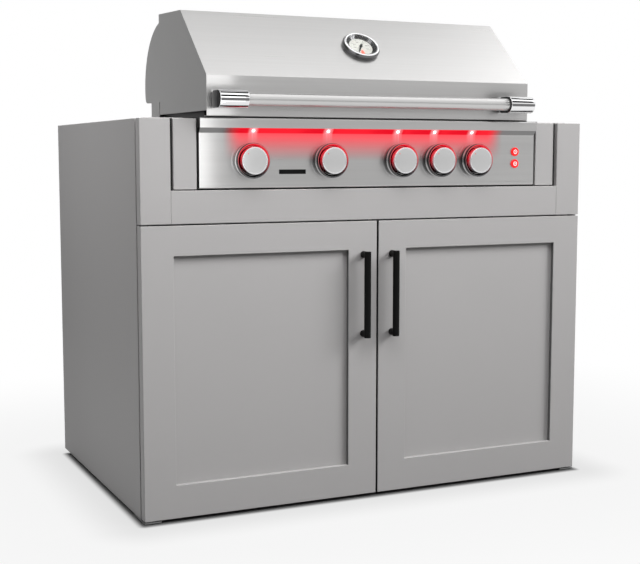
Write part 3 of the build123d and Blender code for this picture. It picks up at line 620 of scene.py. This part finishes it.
def joined(shapes):
    """Several bmeshes as one."""
    whole = bmesh.new()
    for shape in shapes:
        lump = bpy.data.meshes.new("lump")
        shape.to_mesh(lump)
        shape.free()
        whole.from_mesh(lump)
        bpy.data.meshes.remove(lump)
    return whole


def placed(shape, matrix):
    shape.transform(matrix)
    return shape


def facing_front(x, y, z):
    """Turns a shape's +Z out of the front of the grill and moves it there."""
    return Matrix.Translation((x, y, z)) @ Matrix.Rotation(math.radians(90), 4, "X")


print("shape helpers ready")

# %% [markdown]
# ## Knob rings
#
# Round each knob stands a plated ring, a deep drum with a fine groove below the rim. Inside the rim it
# narrows like a funnel towards the knob. Its colours are painted light and shade: the foot, the groove and
# the outer edge of the rim get the darkest plating, a painted dark reflection, and the drum between them a
# band of silver plating, a painted glint. The rim and the funnel get a painted red glow from the lights
# under the lip, bright above and gone below, and they get a finish of their own. A test on the place of
# each face picks its finish. All five rings are one node in the CAD model, and one piece stands for them.

# %% Make the rings
ring_profile = [
    (30.5, 0), (36.5, 0), (36.5, 7.5), (36.5, 13.8), (35.6, 14.6), (35.6, 15.6), (36.5, 16.4),
    (36.5, 20.0), (35.4, 21.5), (34.6, 21.5), (30.5, 13.5), (30.5, 0),
]
rim_radius = 35.5 * MM
glint_low, glint_high = 7.5 * MM, 13.8 * MM
looks_front = -0.3
rings = [
    placed(turned(ring_profile, 0.3), facing_front(axis.x, panel_face_y, axis.z)) for axis in knob_axes
]


def from_knob(face):
    """How far a face is from the nearest knob's axis."""
    return min(math.hypot(face.center.x - axis.x, face.center.z - axis.z) for axis in knob_axes)


def on_rim_with_painted_glow(face):
    """True for the inner half of the rim and for the funnel, which look to the front and get a painted red
    glow.
    """
    return face.normal.y < looks_front and from_knob(face) < rim_radius


def on_painted_glint(face):
    """True for the middle of the drum's wall, which gets a painted glint."""
    return glint_low < panel_face_y - face.center.y < glint_high and from_knob(face) > rim_radius


ring_shape = joined(rings)
# Painted light and shade: the ring is dark plating, with a painted red glow on the rim and funnel and a
# painted glint on the drum.
ring_piece = finish_piece("knob_rings", ring_shape, PAINTED_SHADE_PLATING, "cabinet", ["knob_bezels"])
refinish(ring_piece, PAINTED_GLOW_PLATING, on_rim_with_painted_glow)
refinish(ring_piece, PAINTED_GLINT_PLATING, on_painted_glint)
print("made", len(knob_axes), "knob rings")

# %% [markdown]
# ## Knobs
#
# A knob is a plated cup with a satin disc let into its front, a small red dot for its off position, and a
# stem with one flat side. The disc sits a hair below the plated rim, so that a thin line parts the two
# finishes. The stem is a rod that a plane cuts along its flat.

# %% Make the knobs
knob_back_y = panel_face_y - 5 * MM
knob_length = 24.5
face_radius = 25.4
stem_radius = 4 * MM
stem_flat = 2.6 * MM
stem_inside = 14 * MM
stem_outside = 36 * MM
knob_profile = [
    (0, 0), (29.0, 0), (29.0, 10.0), (28.3, knob_length), (face_radius + 0.4, knob_length),
    (face_radius + 0.4, knob_length - 0.5), (0, knob_length - 0.5),
]
face_low = knob_length - 0.5
face_high = knob_length - 0.15
dot_high = knob_length - 0.02
face_profile = [(0, face_low), (face_radius, face_low), (face_radius, face_high), (0, face_high)]
dot_profile = [(0, face_low), (1.1, face_low), (1.1, dot_high), (0, dot_high)]
dot_angle = math.radians(137)
dot_reach = 21.0
dot_spot = Vector((math.cos(dot_angle), math.sin(dot_angle), 0)) * dot_reach * MM


def knob_stem(axis):
    """The stem behind a knob, cut flat on its upper side."""
    front_y = knob_back_y - stem_inside
    rear_y = knob_back_y + stem_outside
    stem = rod((axis.x, front_y, axis.z), (axis.x, rear_y, axis.z), stem_radius)
    everything = stem.verts[:] + stem.edges[:] + stem.faces[:]
    flat = (axis.x, knob_back_y, axis.z + stem_flat)
    bmesh.ops.bisect_plane(stem, geom=everything, plane_co=flat, plane_no=(0, 0, 1), clear_outer=True)
    bmesh.ops.holes_fill(stem, edges=[edge for edge in stem.edges if edge.is_boundary])
    bmesh.ops.recalc_face_normals(stem, faces=stem.faces[:])
    return stem


for name, axis in zip(knob_names, knob_axes):
    front = facing_front(axis.x, knob_back_y, axis.z)
    cup = placed(turned(knob_profile, 1.5), front)
    face = placed(turned(face_profile, 0.1), front)
    dot = placed(turned(dot_profile, steps=24), front @ Matrix.Translation(dot_spot))
    finish_piece(f"{name}_cup", cup, CHROME, name, [name])
    finish_piece(f"{name}_face", face, turned_face(f"{name} satin", axis), name)
    finish_piece(f"{name}_dot", dot, RED_PRINT, name)
    finish_piece(f"{name}_stem", knob_stem(axis), PIN_STEEL, name)
print("made", len(knob_names), "knobs")

# %% [markdown]
# ## Hood handle
#
# The handle is a brushed bar held in two plated blocks. Seen from the end, a block is round at the front
# and runs straight back to the hood, and its flat ends get dark plating, which is painted shade. It starts
# as a flat square, whose corners are rounded with two sizes of bevel, and is then pulled out along X. The
# size of the square is the size of the CAD blocks.

# %% Make the handle
bar_low, bar_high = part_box("hood_handle_bar")
block_low, block_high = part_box("hood_handle_posts")
block_length = 64 * MM
block_heel = 8 * MM
block_edge = 2 * MM
bar_radius = (bar_high.z - bar_low.z) / 2
bar_middle = (bar_low + bar_high) / 2


def handle_block(start_x):
    """One end block, as long as block_length from start_x on."""
    depth = block_high.y - block_low.y
    height = block_high.z - block_low.z
    shape = bmesh.new()
    bmesh.ops.create_grid(shape, x_segments=1, y_segments=1, size=0.5)
    bmesh.ops.scale(shape, vec=(depth, height, 1), verts=shape.verts[:])
    front = [vertex for vertex in shape.verts if vertex.co.x < 0]
    back = [vertex for vertex in shape.verts if vertex.co.x > 0]
    for corners, size, segments in ((front, height / 2, 24), (back, block_heel, 8)):
        bmesh.ops.bevel(
            shape, geom=corners, offset=size, affect="VERTICES", segments=segments, profile=0.5, material=-1
        )
    bmesh.ops.remove_doubles(shape, verts=shape.verts[:], dist=0.01 * MM)
    grown = bmesh.ops.extrude_face_region(shape, geom=shape.faces[:])["geom"]
    moved = [item for item in grown if isinstance(item, bmesh.types.BMVert)]
    bmesh.ops.translate(shape, vec=(0, 0, block_length), verts=moved)
    round_edges(shape, edges_across(shape, block_length), block_edge)
    bmesh.ops.recalc_face_normals(shape, faces=shape.faces[:])
    along_x = Matrix(((0, 0, 1, 0), (1, 0, 0, 0), (0, 1, 0, 0), (0, 0, 0, 1)))
    middle = Vector((start_x, (block_low.y + block_high.y) / 2, (block_low.z + block_high.z) / 2))
    return placed(shape, Matrix.Translation(middle) @ along_x)


bar_ends = [(x, bar_middle.y, bar_middle.z) for x in (bar_low.x, bar_high.x)]
bar_shape = rod(*bar_ends, bar_radius, segments=96)
finish_piece("handle_bar", bar_shape, STEEL, "hood", ["hood_handle_bar"])
block_starts = {"left": block_low.x, "right": block_high.x - block_length}
block_shape = joined([handle_block(start_x) for start_x in block_starts.values()])
block_piece = finish_piece("handle_blocks", block_shape, CHROME, "hood", ["hood_handle_posts"])
# Painted shade: the flat ends of the blocks get dark plating.
looks_sideways = 0.8
refinish(block_piece, PAINTED_SHADE_PLATING, lambda face: abs(face.normal.x) > looks_sideways)
print("handle bar", round(bar_radius / MM * 2, 1), "mm thick")

# %% [markdown]
# ## Dial gauge
#
# The gauge has a rounded plated case that narrows like a funnel to the dial. The case is one spin, and its
# outer wall and its funnel get darker plating than its rim, which paints grey and dark reflections on them.
# The scale is printed: short bars in a loop, longer at every fifth, with plain numbers inside, and a red
# patch past the end of the scale. The needle rests at seven o'clock when cold and turns clockwise, so the
# scale starts there.

# %% Gauge case
case_profile = [
    (0, 0), (43.0, 0), (43.0, 7.0), (40.5, 11.2), (38.2, 12.0), (35.8, 11.6), (35.0, 10.6), (35.0, 9.0),
    (27.2, 3.5), (27.2, 2.0), (0, 2.0),
]
case_wall = 41.5 * MM
case_funnel = 34.9 * MM
probe_length = 45 * MM
probe_radius = 5 * MM
probe_tip = 1 * MM


def gauge_frame():
    """Turns a shape's +Z out of the sloped hood, with +Y up the slope."""
    along = Vector((1, 0, 0))
    up = gauge_out.cross(along)
    turn = Matrix((along, up, gauge_out)).transposed().to_4x4()
    return Matrix.Translation(gauge_middle) @ turn


on_gauge = gauge_frame()
probe = rod((0, 0, -probe_length), (0, 0, 0), probe_radius, probe_tip)
case = placed(joined([turned(case_profile, 0.6), probe]), on_gauge)
case_piece = finish_piece("gauge_case", case, CHROME, "hood", ["gauge_bezel"])


def from_needle(face):
    """How far a face is from the needle's axis."""
    spot = on_gauge.inverted() @ face.center
    return math.hypot(spot.x, spot.y)


# Painted reflections: grey plating on the outer wall, dark plating in the funnel.
refinish(case_piece, PAINTED_GREY_REFLECTION_PLATING, lambda face: from_needle(face) > case_wall)
refinish(case_piece, PAINTED_SHADE_PLATING, lambda face: from_needle(face) < case_funnel)
print("made the gauge case")

# %% Gauge scale
dial_top = 3.5 * MM
print_rise = 0.06 * MM
needle_rest = 30.0
scale_start = -90.0 - needle_rest
scale_sweep = 270.0
tick_count = 31
tick_outer = 23.8 * MM
long_tick = (19.6 * MM, 0.9 * MM)
short_tick = (21.8 * MM, 0.45 * MM)
number_reach = 15.6 * MM
number_size = 4.2 * MM


def scale_angle(share):
    return math.radians(scale_start - scale_sweep * share)


def tick(share, inner, outer, width):
    """A printed bar between two radii of the dial."""
    bar = plate((inner, -width / 2, dial_top), (outer, width / 2, dial_top + print_rise))
    return placed(bar, Matrix.Rotation(scale_angle(share), 4, "Z"))


def number(words, share, reach, size):
    """A printed number as a flat mesh."""
    text = bpy.data.curves.new(words, "FONT")
    text.body = words
    text.size = size
    text.align_x = "CENTER"
    text.align_y = "CENTER"
    text.extrude = print_rise / 2
    holder = bpy.data.objects.new(words, text)
    bpy.context.scene.collection.objects.link(holder)
    lump = bpy.data.meshes.new_from_object(holder)
    bpy.data.objects.remove(holder)
    shape = bmesh.new()
    shape.from_mesh(lump)
    bpy.data.meshes.remove(lump)
    angle = scale_angle(share)
    spot = (reach * math.cos(angle), reach * math.sin(angle), dial_top + print_rise / 2)
    return placed(shape, Matrix.Translation(spot))


marks = []
for index in range(tick_count):
    inner, width = short_tick if index % 5 else long_tick
    marks.append(tick(index / (tick_count - 1), inner, tick_outer, width))
numbers = [number(str(100 * step), (step - 1) / 6, number_reach, number_size) for step in range(1, 8)]
finish_piece("gauge_scale", placed(joined(marks + numbers), on_gauge), PRINT, "hood")
print("scale with", tick_count, "bars and", len(numbers), "numbers")

# %% Red patch and needle
patch_angle = math.radians(-97)
patch_sweep = math.radians(20)
needle_low = 3.9 * MM
needle_top = 4.9 * MM
needle_half_width = 2.4 * MM
needle_tail = 9 * MM
needle_reach = 22 * MM
needle_taper = 0.45


def red_patch():
    """A flat wedge on the dial, beside the cold end of the scale."""
    shape = bmesh.new()
    radii = [shape.verts.new((radius * MM, 0, dial_top + print_rise)) for radius in (13.0, 24.6)]
    edge = shape.edges.new(radii)
    bmesh.ops.spin(
        shape, geom=radii + [edge], axis=(0, 0, 1), cent=(0, 0, 0), angle=patch_sweep, steps=12,
        use_merge=False,
    )
    bmesh.ops.recalc_face_normals(shape, faces=shape.faces[:])
    if shape.faces[:][0].normal.z < 0:
        bmesh.ops.reverse_faces(shape, faces=shape.faces[:])
    return placed(shape, Matrix.Rotation(patch_angle - patch_sweep / 2, 4, "Z"))


def needle_blade():
    """A flat pointer with a wide tail, narrowed towards its tip."""
    low = (-needle_half_width, -needle_reach, needle_low)
    high = (needle_half_width, needle_tail, needle_top)
    blade = plate(low, high)
    for vertex in blade.verts:
        if vertex.co.y < 0:
            vertex.co.x *= needle_taper
    round_edges(blade, blade.edges[:], 0.2 * MM, 2)
    return blade


hub = turned([(0, 3.0), (1.5, 3.0), (1.5, 3.9), (3.5, 3.9), (3.5, 5.9), (0, 6.1)], 0.3)
finish_piece("red_patch", placed(red_patch(), on_gauge), RED_PRINT, "hood")
at_rest = on_gauge @ Matrix.Rotation(math.radians(-needle_rest), 4, "Z")
needle = placed(joined([needle_blade(), hub]), at_rest)
finish_piece("needle", needle, PRINT, "gauge_needle", ["gauge_needle"])
print("made the needle")

# %% [markdown]
# ## Door pulls
#
# A pull is a round black bar on two round posts of the same thickness. All three are rods, and the bar's
# ends are cut square with only a small rounding. Posts run into the bar, so nothing shows a gap.

# %% Make the pulls
pull_radius = 7.4 * MM
pull_corner = 0.8 * MM
for side in ("left", "right"):
    node = f"{side}_door_handle"
    low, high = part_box(node)
    x = (low.x + high.x) / 2
    bar_y = low.y + pull_radius
    rods = [rod((x, bar_y, low.z), (x, bar_y, high.z), pull_radius, pull_corner)]
    for z in (low.z + pull_radius, high.z - pull_radius):
        rods.append(rod((x, high.y, z), (x, bar_y, z), pull_radius))
    finish_piece(f"{side}_pull", joined(rods), BLACK_PULL, f"{side}_door", [node])
print("made two pulls", round((high.z - low.z) / MM), "mm long")

# %% [markdown]
# ## Painted shade in the door gap
#
# The gap between the two doors looks black because of painted shade: the meeting edges of the doors carry
# dark strips. Each strip is a thin sheet on its door, set back a little from the front.

# %% Make the dark strips in the door gap
shade_strip_thickness = 0.5 * MM
shade_strip_setback = 1.2 * MM
# Painted shade: a dark strip on the meeting edge of each door.
for side, sign in (("left", -1), ("right", 1)):
    low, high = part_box(f"{side}_door_frame")
    edge_x = high.x if side == "left" else low.x
    inner_x = edge_x - sign * shade_strip_thickness
    low_corner = (min(edge_x, inner_x), low.y + shade_strip_setback, low.z + shade_strip_setback)
    high_corner = (max(edge_x, inner_x), high.y - shade_strip_setback, high.z - shade_strip_setback)
    strip_shape = plate(low_corner, high_corner, 0.1 * MM)
    finish_piece(f"{side}_meeting_edge_shade", strip_shape, RUBBER, f"{side}_door")
print("made two meeting-edge strips of painted shade", round(shade_strip_thickness / MM, 1), "mm thick")

# %% [markdown]
# ## Light switches
#
# Two round switches glow red at the right end of the panel. Each has a red body with a flange, a red
# button that is pushed in, and a pale mark of a ring with a dot. The mark is a thin turned piece that
# moves with its button.

# %% Make the switches
body_profile = [
    (0, -14.0), (7.05, -14.0), (7.05, 2.5), (10.0, 2.5), (10.0, 0), (8.5, 0), (8.5, -18.0), (0, -18.0)
]
button_profile = [(0, -10.0), (7.0, -10.0), (7.0, 3.5), (0, 3.5)]
mark_ring = [(3.4, 3.45), (4.8, 3.45), (4.8, 3.6), (3.4, 3.6), (3.4, 3.45)]
mark_dot = [(0, 3.45), (1.2, 3.45), (1.2, 3.6), (0, 3.6)]
switch_fronts = []
for place in ("upper", "lower"):
    button = f"{place}_light_button"
    low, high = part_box(button)
    front = facing_front((low.x + high.x) / 2, panel_face_y, (low.z + high.z) / 2)
    switch_fronts.append(front)
    lens = placed(turned(button_profile, 0.5), front)
    finish_piece(f"{place}_button", lens, BUTTON_LENS, button, [button])
    mark = joined([turned(mark_ring), turned(mark_dot)])
    finish_piece(f"{place}_mark", placed(mark, front), MARK_LENS, button)
bodies = [placed(turned(body_profile, 0.5), front) for front in switch_fronts]
finish_piece("switch_shells", joined(bodies), BUTTON_LENS, "cabinet", ["switch_bodies"])
print("made", len(switch_fronts), "switches")

# %% [markdown]
# ## Plate and strips of painted shade
#
# A small black plate is stuck on the panel between the first two knobs. Black strips of painted shade sit
# behind the gaps between the control panel and the fillers, between the fillers and the stiles, and under
# the front edge of the hood, which is why these gaps look black.

# %% Make the plate and the strips of painted shade
plate_left, plate_right = -231 * MM, -170 * MM
plate_low, plate_high = 715 * MM, 724.5 * MM
plate_proud = 0.8 * MM
gap_shade_depth = 10 * MM
gap_shade_setback = 8 * MM
plate_corner = 0.3 * MM
low_corner = (plate_left, panel_face_y - plate_proud, plate_low)
high_corner = (plate_right, panel_face_y, plate_high)
black_plate = plate(low_corner, high_corner, plate_corner)
finish_piece("panel_plate", black_plate, BLACK_PLATE, "cabinet")
# Painted shade: black strips behind the gaps round the control panel and beside the fillers.
gap_shade_front = panel_face_y + gap_shade_setback
gap_shade_rear = gap_shade_front + gap_shade_depth
filler_low, filler_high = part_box("filler_strips")
rail_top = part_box("front_rail")[1].z
filler_inner = min(abs(vertex.co.x) for vertex in nodes["filler_strips"].data.vertices)
strips = [plate((panel_low.x, gap_shade_front, rail_top), (panel_high.x, gap_shade_rear, panel_low.z))]
for near, far in ((panel_high.x, filler_inner), (-filler_inner, panel_low.x)):
    strips.append(plate((near, gap_shade_front, rail_top), (far, gap_shade_rear, filler_high.z)))
stile_inner = min(abs(vertex.co.x) for vertex in nodes["front_stiles"].data.vertices)
reveal = 6 * MM
for near, far in ((filler_high.x, stile_inner), (-stile_inner, filler_low.x)):
    low_corner = (near, filler_low.y + reveal, rail_top)
    high_corner = (far, filler_low.y + 2 * reveal, filler_high.z)
    strips.append(plate(low_corner, high_corner))
# Painted shade: a black strip under the front edge of the hood.
hood_low, hood_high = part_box("hood_skin")
hood_shade_clear = 0.4 * MM
hood_shade_front, hood_shade_back = 1 * MM, 9 * MM
hood_shade_low = (max(hood_low.x, panel_low.x), hood_low.y + hood_shade_front, panel_high.z)
hood_shade_high = (min(hood_high.x, panel_high.x), hood_low.y + hood_shade_back, hood_low.z - hood_shade_clear)
strips.append(plate(hood_shade_low, hood_shade_high))
finish_piece("shade_strips_in_gaps", joined(strips), RUBBER, "cabinet")
print("gaskets in", round((filler_inner - panel_high.x) / MM, 1), "mm gaps and under the hood")

# %% [markdown]
# ## Studio
#
# The picture has a white ground and soft shadows. To the camera and to reflections the floor and the world
# are white, at a strength of 1. To the lamps the floor is dark, so that little light bounces up the
# cabinet. Under the object and close to it the white gives way to that dark floor, which is painted shade:
# together with the lamps' own shadow it makes the soft shadow and a dark line below the doors.


# %% Floor and world
def seen_directly(graph):
    """1 for rays that show the background: straight to the camera, mirrored or through glass."""
    camera_ray = graph.node("ShaderNodeLightPath", output="Is Camera Ray")
    made = camera_ray.socket.node
    mirrored = Value(graph, made.outputs["Is Glossy Ray"])
    through = Value(graph, made.outputs["Is Transmission Ray"])
    return graph.maths("MAXIMUM", graph.maths("MAXIMUM", camera_ray, mirrored), through)


def staged(name, shape, material):
    """A bmesh as an object that isn't part of the model."""
    mesh = bpy.data.meshes.new(name)
    shape.to_mesh(mesh)
    shape.free()
    mesh.materials.append(material)
    thing = bpy.data.objects.new(name, mesh)
    bpy.context.scene.collection.objects.link(thing)
    return thing


def floor_white(half_width, half_depth):
    """White to the camera, with painted shade: dark under the object and a little darker close to it."""
    graph = new_material("white floor")
    graph.feed(graph.shader, {"Base Color": grey(0.12), "Roughness": 0.9})
    x, y, z = graph.parts_of(graph.place())
    out_x = graph.maths("MAXIMUM", graph.maths("ABSOLUTE", x) - half_width, 0.0)
    out_y = graph.maths("MAXIMUM", graph.maths("ABSOLUTE", y) - half_depth, 0.0)
    away = (out_x ** 2 + out_y ** 2) ** 0.5
    # Painted shade: the white share grows with the distance from the object's footprint.
    steps = ((0.0, 0.02, 0.74), (0.015, 0.15, 0.16), (0.10, 1.2, 0.10))
    share = 0.0
    for low, high, part in steps:
        share = share + graph.soft_step(away, low, high) * part
    white = graph.node("ShaderNodeEmission", inputs={"Color": grey(1.0), "Strength": 1.0})
    lit = Value(graph, graph.shader.outputs[0])
    mixed = graph.node("ShaderNodeMixShader", inputs={0: share * seen_directly(graph), 1: lit, 2: white})
    graph.feed(graph.tree.nodes["Material Output"], {"Surface": mixed})
    return graph.material


def studio_world(ambient):
    world = bpy.data.worlds.new("studio")
    world.use_nodes = True
    bpy.context.scene.world = world
    graph = Graph(world.node_tree)
    strength = seen_directly(graph) * (1 - ambient) + ambient
    graph.feed(world.node_tree.nodes["Background"], {"Color": grey(1.0), "Strength": strength})


floor_shape = bmesh.new()
bmesh.ops.create_grid(floor_shape, x_segments=1, y_segments=1, size=20)
staged("floor", floor_shape, floor_white(cad_box[1][0], -door_front_y))
studio_world(ambient=0.21)
print("floor and world ready")

# %% [markdown]
# ## Lamps and cards
#
# The key lamp stands far off to the front right and above, so the inner edges of the door frames catch
# light at the bottom. A smaller lamp over the front makes it paler at the top, a narrow one lights the
# left side, and one behind lights the back. The lamps aren't mirrored. What steel and plating mirror is
# the white room and a few cards that only reflections see: bright ones light the slope of the hood and the
# left ends of the band and the panel, grey ones shade the panel and the sides of the hood, and small dark
# flags close to the handle blocks draw the black streaks on them. Two other flags aren't mirrored: one at
# the left keeps the room's light off the inner edges of the door frames, and one before the key lamp takes
# some of its light off the feet of the doors. The panel lights get a lamp of their own, a red strip along
# the band, which reddens the rings and the knobs from above.


# %% Lamps
def soft_lamp(name, place, target, width, height, radiance, colour=(1, 1, 1)):
    """A rectangular lamp that looks at a target. Its brightness is set as what a mirror would show of it."""
    lamp = bpy.data.lights.new(name, "AREA")
    lamp.shape = "RECTANGLE"
    lamp.size = width
    lamp.size_y = height
    lamp.energy = radiance * math.pi * width * height
    lamp.color = colour
    held = bpy.data.objects.new(name, lamp)
    bpy.context.scene.collection.objects.link(held)
    held.location = place
    held.rotation_euler = (Vector(target) - Vector(place)).to_track_quat("-Z", "Y").to_euler()
    held.visible_camera = False
    held.visible_glossy = False
    return held


middle = Vector((0, 0, 0.6))
soft_lamp("key", (18.0, -12.0, 11.4), middle, 12.0, 11.0, 17.8)
soft_lamp("over the front", (-0.3, -1.5, 2.8), (-0.2, -0.5, 0), 2.8, 1.0, 6.5)
left_lamp = soft_lamp("left side", (-2.2, 0.6, 1.9), (-0.53, 0, 1.0), 1.2, 1.2, 0.50)
left_lamp.data.spread = math.radians(45)
soft_lamp("behind", (0.5, 5.5, 3.0), middle, 3.0, 3.0, 4.0)
strip_length = wash_right - wash_left
strip_off = 2 * MM
strip_red = (1.0, 0.01, 0.03)
band_y = (panel_low.y + panel_face_y) / 2
band_middle = Vector(((wash_left + wash_right) / 2, band_y, band_top - band_height / 2))
band_out = Vector((0, -band_height, panel_low.y - panel_face_y)).normalized()
strip_place = band_middle + band_out * strip_off
strip = soft_lamp("red strip", strip_place, strip_place + band_out, strip_length, band_height, 4.0, strip_red)
strip.visible_glossy = True
print("lamps ready, red strip", round(strip.data.size, 3), "m long")


# %% Cards
def mirror_card(name, low, high, level):
    """A card that only reflections see, as bright as its level."""
    graph = new_material(name)
    glow = graph.node("ShaderNodeEmission", inputs={"Color": grey(level), "Strength": 1.0})
    graph.feed(graph.tree.nodes["Material Output"], {"Surface": glow})
    made = staged(name, plate(low, high), graph.material)
    made.visible_camera = False
    made.visible_diffuse = False
    made.visible_shadow = False
    return made


mirror_card("left horizon", (-0.9, -4.65, 0.0), (3.1, -4.60, 1.45), 0.50)
mirror_card("right horizon", (3.1, -4.65, 0.0), (7.5, -4.60, 1.45), 0.60)
mirror_card("front sky", (-2.0, -2.70, 3.74), (5.0, -1.00, 3.76), 1.4)
mirror_card("sky", (-1.0, -0.60, 3.74), (2.2, 0.15, 3.76), 1.9)
mirror_card("right sky", (2.2, -0.60, 3.74), (2.9, 0.40, 3.76), 2.6)
mirror_card("rear sky", (-3.0, 0.55, 3.70), (2.0, 2.0, 3.72), 0.30)
mirror_card("left back", (-3.40, -1.0, 0.0), (-3.35, 14.0, 5.0), 0.26)
mirror_card("left floor", (-8.0, 1.0, 0.010), (-1.0, 9.0, 0.015), 0.35)
mirror_card("panel end", (panel_low.x - 0.04, -0.505, 0.66), (panel_low.x + 0.08, -0.500, 0.84), 2.2)
mirror_card("front left", (-3.6, -4.75, 0.0), (-1.4, -4.70, 2.0), 0.12)
left_flag = mirror_card("left flag", (-1.92, -4.6, 0.0), (-1.90, -0.7, 2.6), 0.0)
left_flag.visible_diffuse = True
left_flag.visible_glossy = False
key_flag = mirror_card("key flag", (0.6, -2.22, 0.0), (6.0, -2.20, 1.52), 0.0)
key_flag.visible_shadow = True
key_flag.visible_glossy = False
print("cards and two flags ready")

# %% Cards at the handle
card_out = 40 * MM
card_thickness = 1 * MM
card_width, card_height = 90 * MM, 110 * MM
flag_out = 14 * MM
flag_thickness = 0.5 * MM
flag_margin = 4 * MM
flag_shifts = {"left": 5.4 * MM, "right": 9 * MM}
front_flags = (("grey", -10 * MM, 5 * MM, 0.20), ("black", 12.5 * MM, 28 * MM, 0.0))
flat_flags = (
    ("top", block_high.z + flag_out, -1 * MM, 10 * MM),
    ("low", block_low.z - flag_out, 5 * MM, 15 * MM),
)
card_low = Vector((hood_low.x, block_low.y - card_out, hood_low.z))
mirror_card("band end", card_low, card_low + Vector((card_width, card_thickness, card_height)), 1.75)
flag_y = block_low.y - flag_out
block_middle_z = (block_low.z + block_high.z) / 2
for side, start_x in block_starts.items():
    x_low = start_x + flag_shifts[side] - flag_margin
    x_high = start_x + flag_shifts[side] + block_length + flag_margin
    for name, low, high, level in front_flags:
        low_corner = (x_low, flag_y - flag_thickness, block_middle_z + low)
        high_corner = (x_high, flag_y, block_middle_z + high)
        mirror_card(f"{side} {name} flag", low_corner, high_corner, level)
    for name, z, near, far in flat_flags:
        low_corner = (x_low, block_low.y + near, z)
        high_corner = (x_high, block_low.y + far, z + flag_thickness)
        mirror_card(f"{side} {name} flag", low_corner, high_corner, 0.0)
print("made", len(block_starts) * (len(front_flags) + len(flat_flags)), "flags at the handle")

# %% [markdown]
# ## Camera
#
# The camera was found by matching the cabinet's edges in the picture. Its distance is measured from the
# door fronts, so it stays right if the origin moves. The lens comes from the focal length in pixels of a
# picture 640 pixels wide.

# %% Camera
camera_left = -1.2210
camera_back = 2.3236
camera_height = 0.7543
camera_turn = -24.97
camera_tilt = -6.01
photo_width = 640
focal_pixels = 1204.55
camera_data = bpy.data.cameras.new("camera")
camera_data.sensor_width = 36.0
camera_data.lens = focal_pixels / photo_width * camera_data.sensor_width
camera = bpy.data.objects.new("camera", camera_data)
bpy.context.scene.collection.objects.link(camera)
camera.location = (camera_left, door_front_y - camera_back, camera_height)
camera.rotation_euler = (math.radians(90 + camera_tilt), 0, math.radians(camera_turn))
bpy.context.scene.camera = camera
bpy.context.scene.view_settings.view_transform = "Standard"
print("camera lens", round(camera_data.lens, 2), "mm")
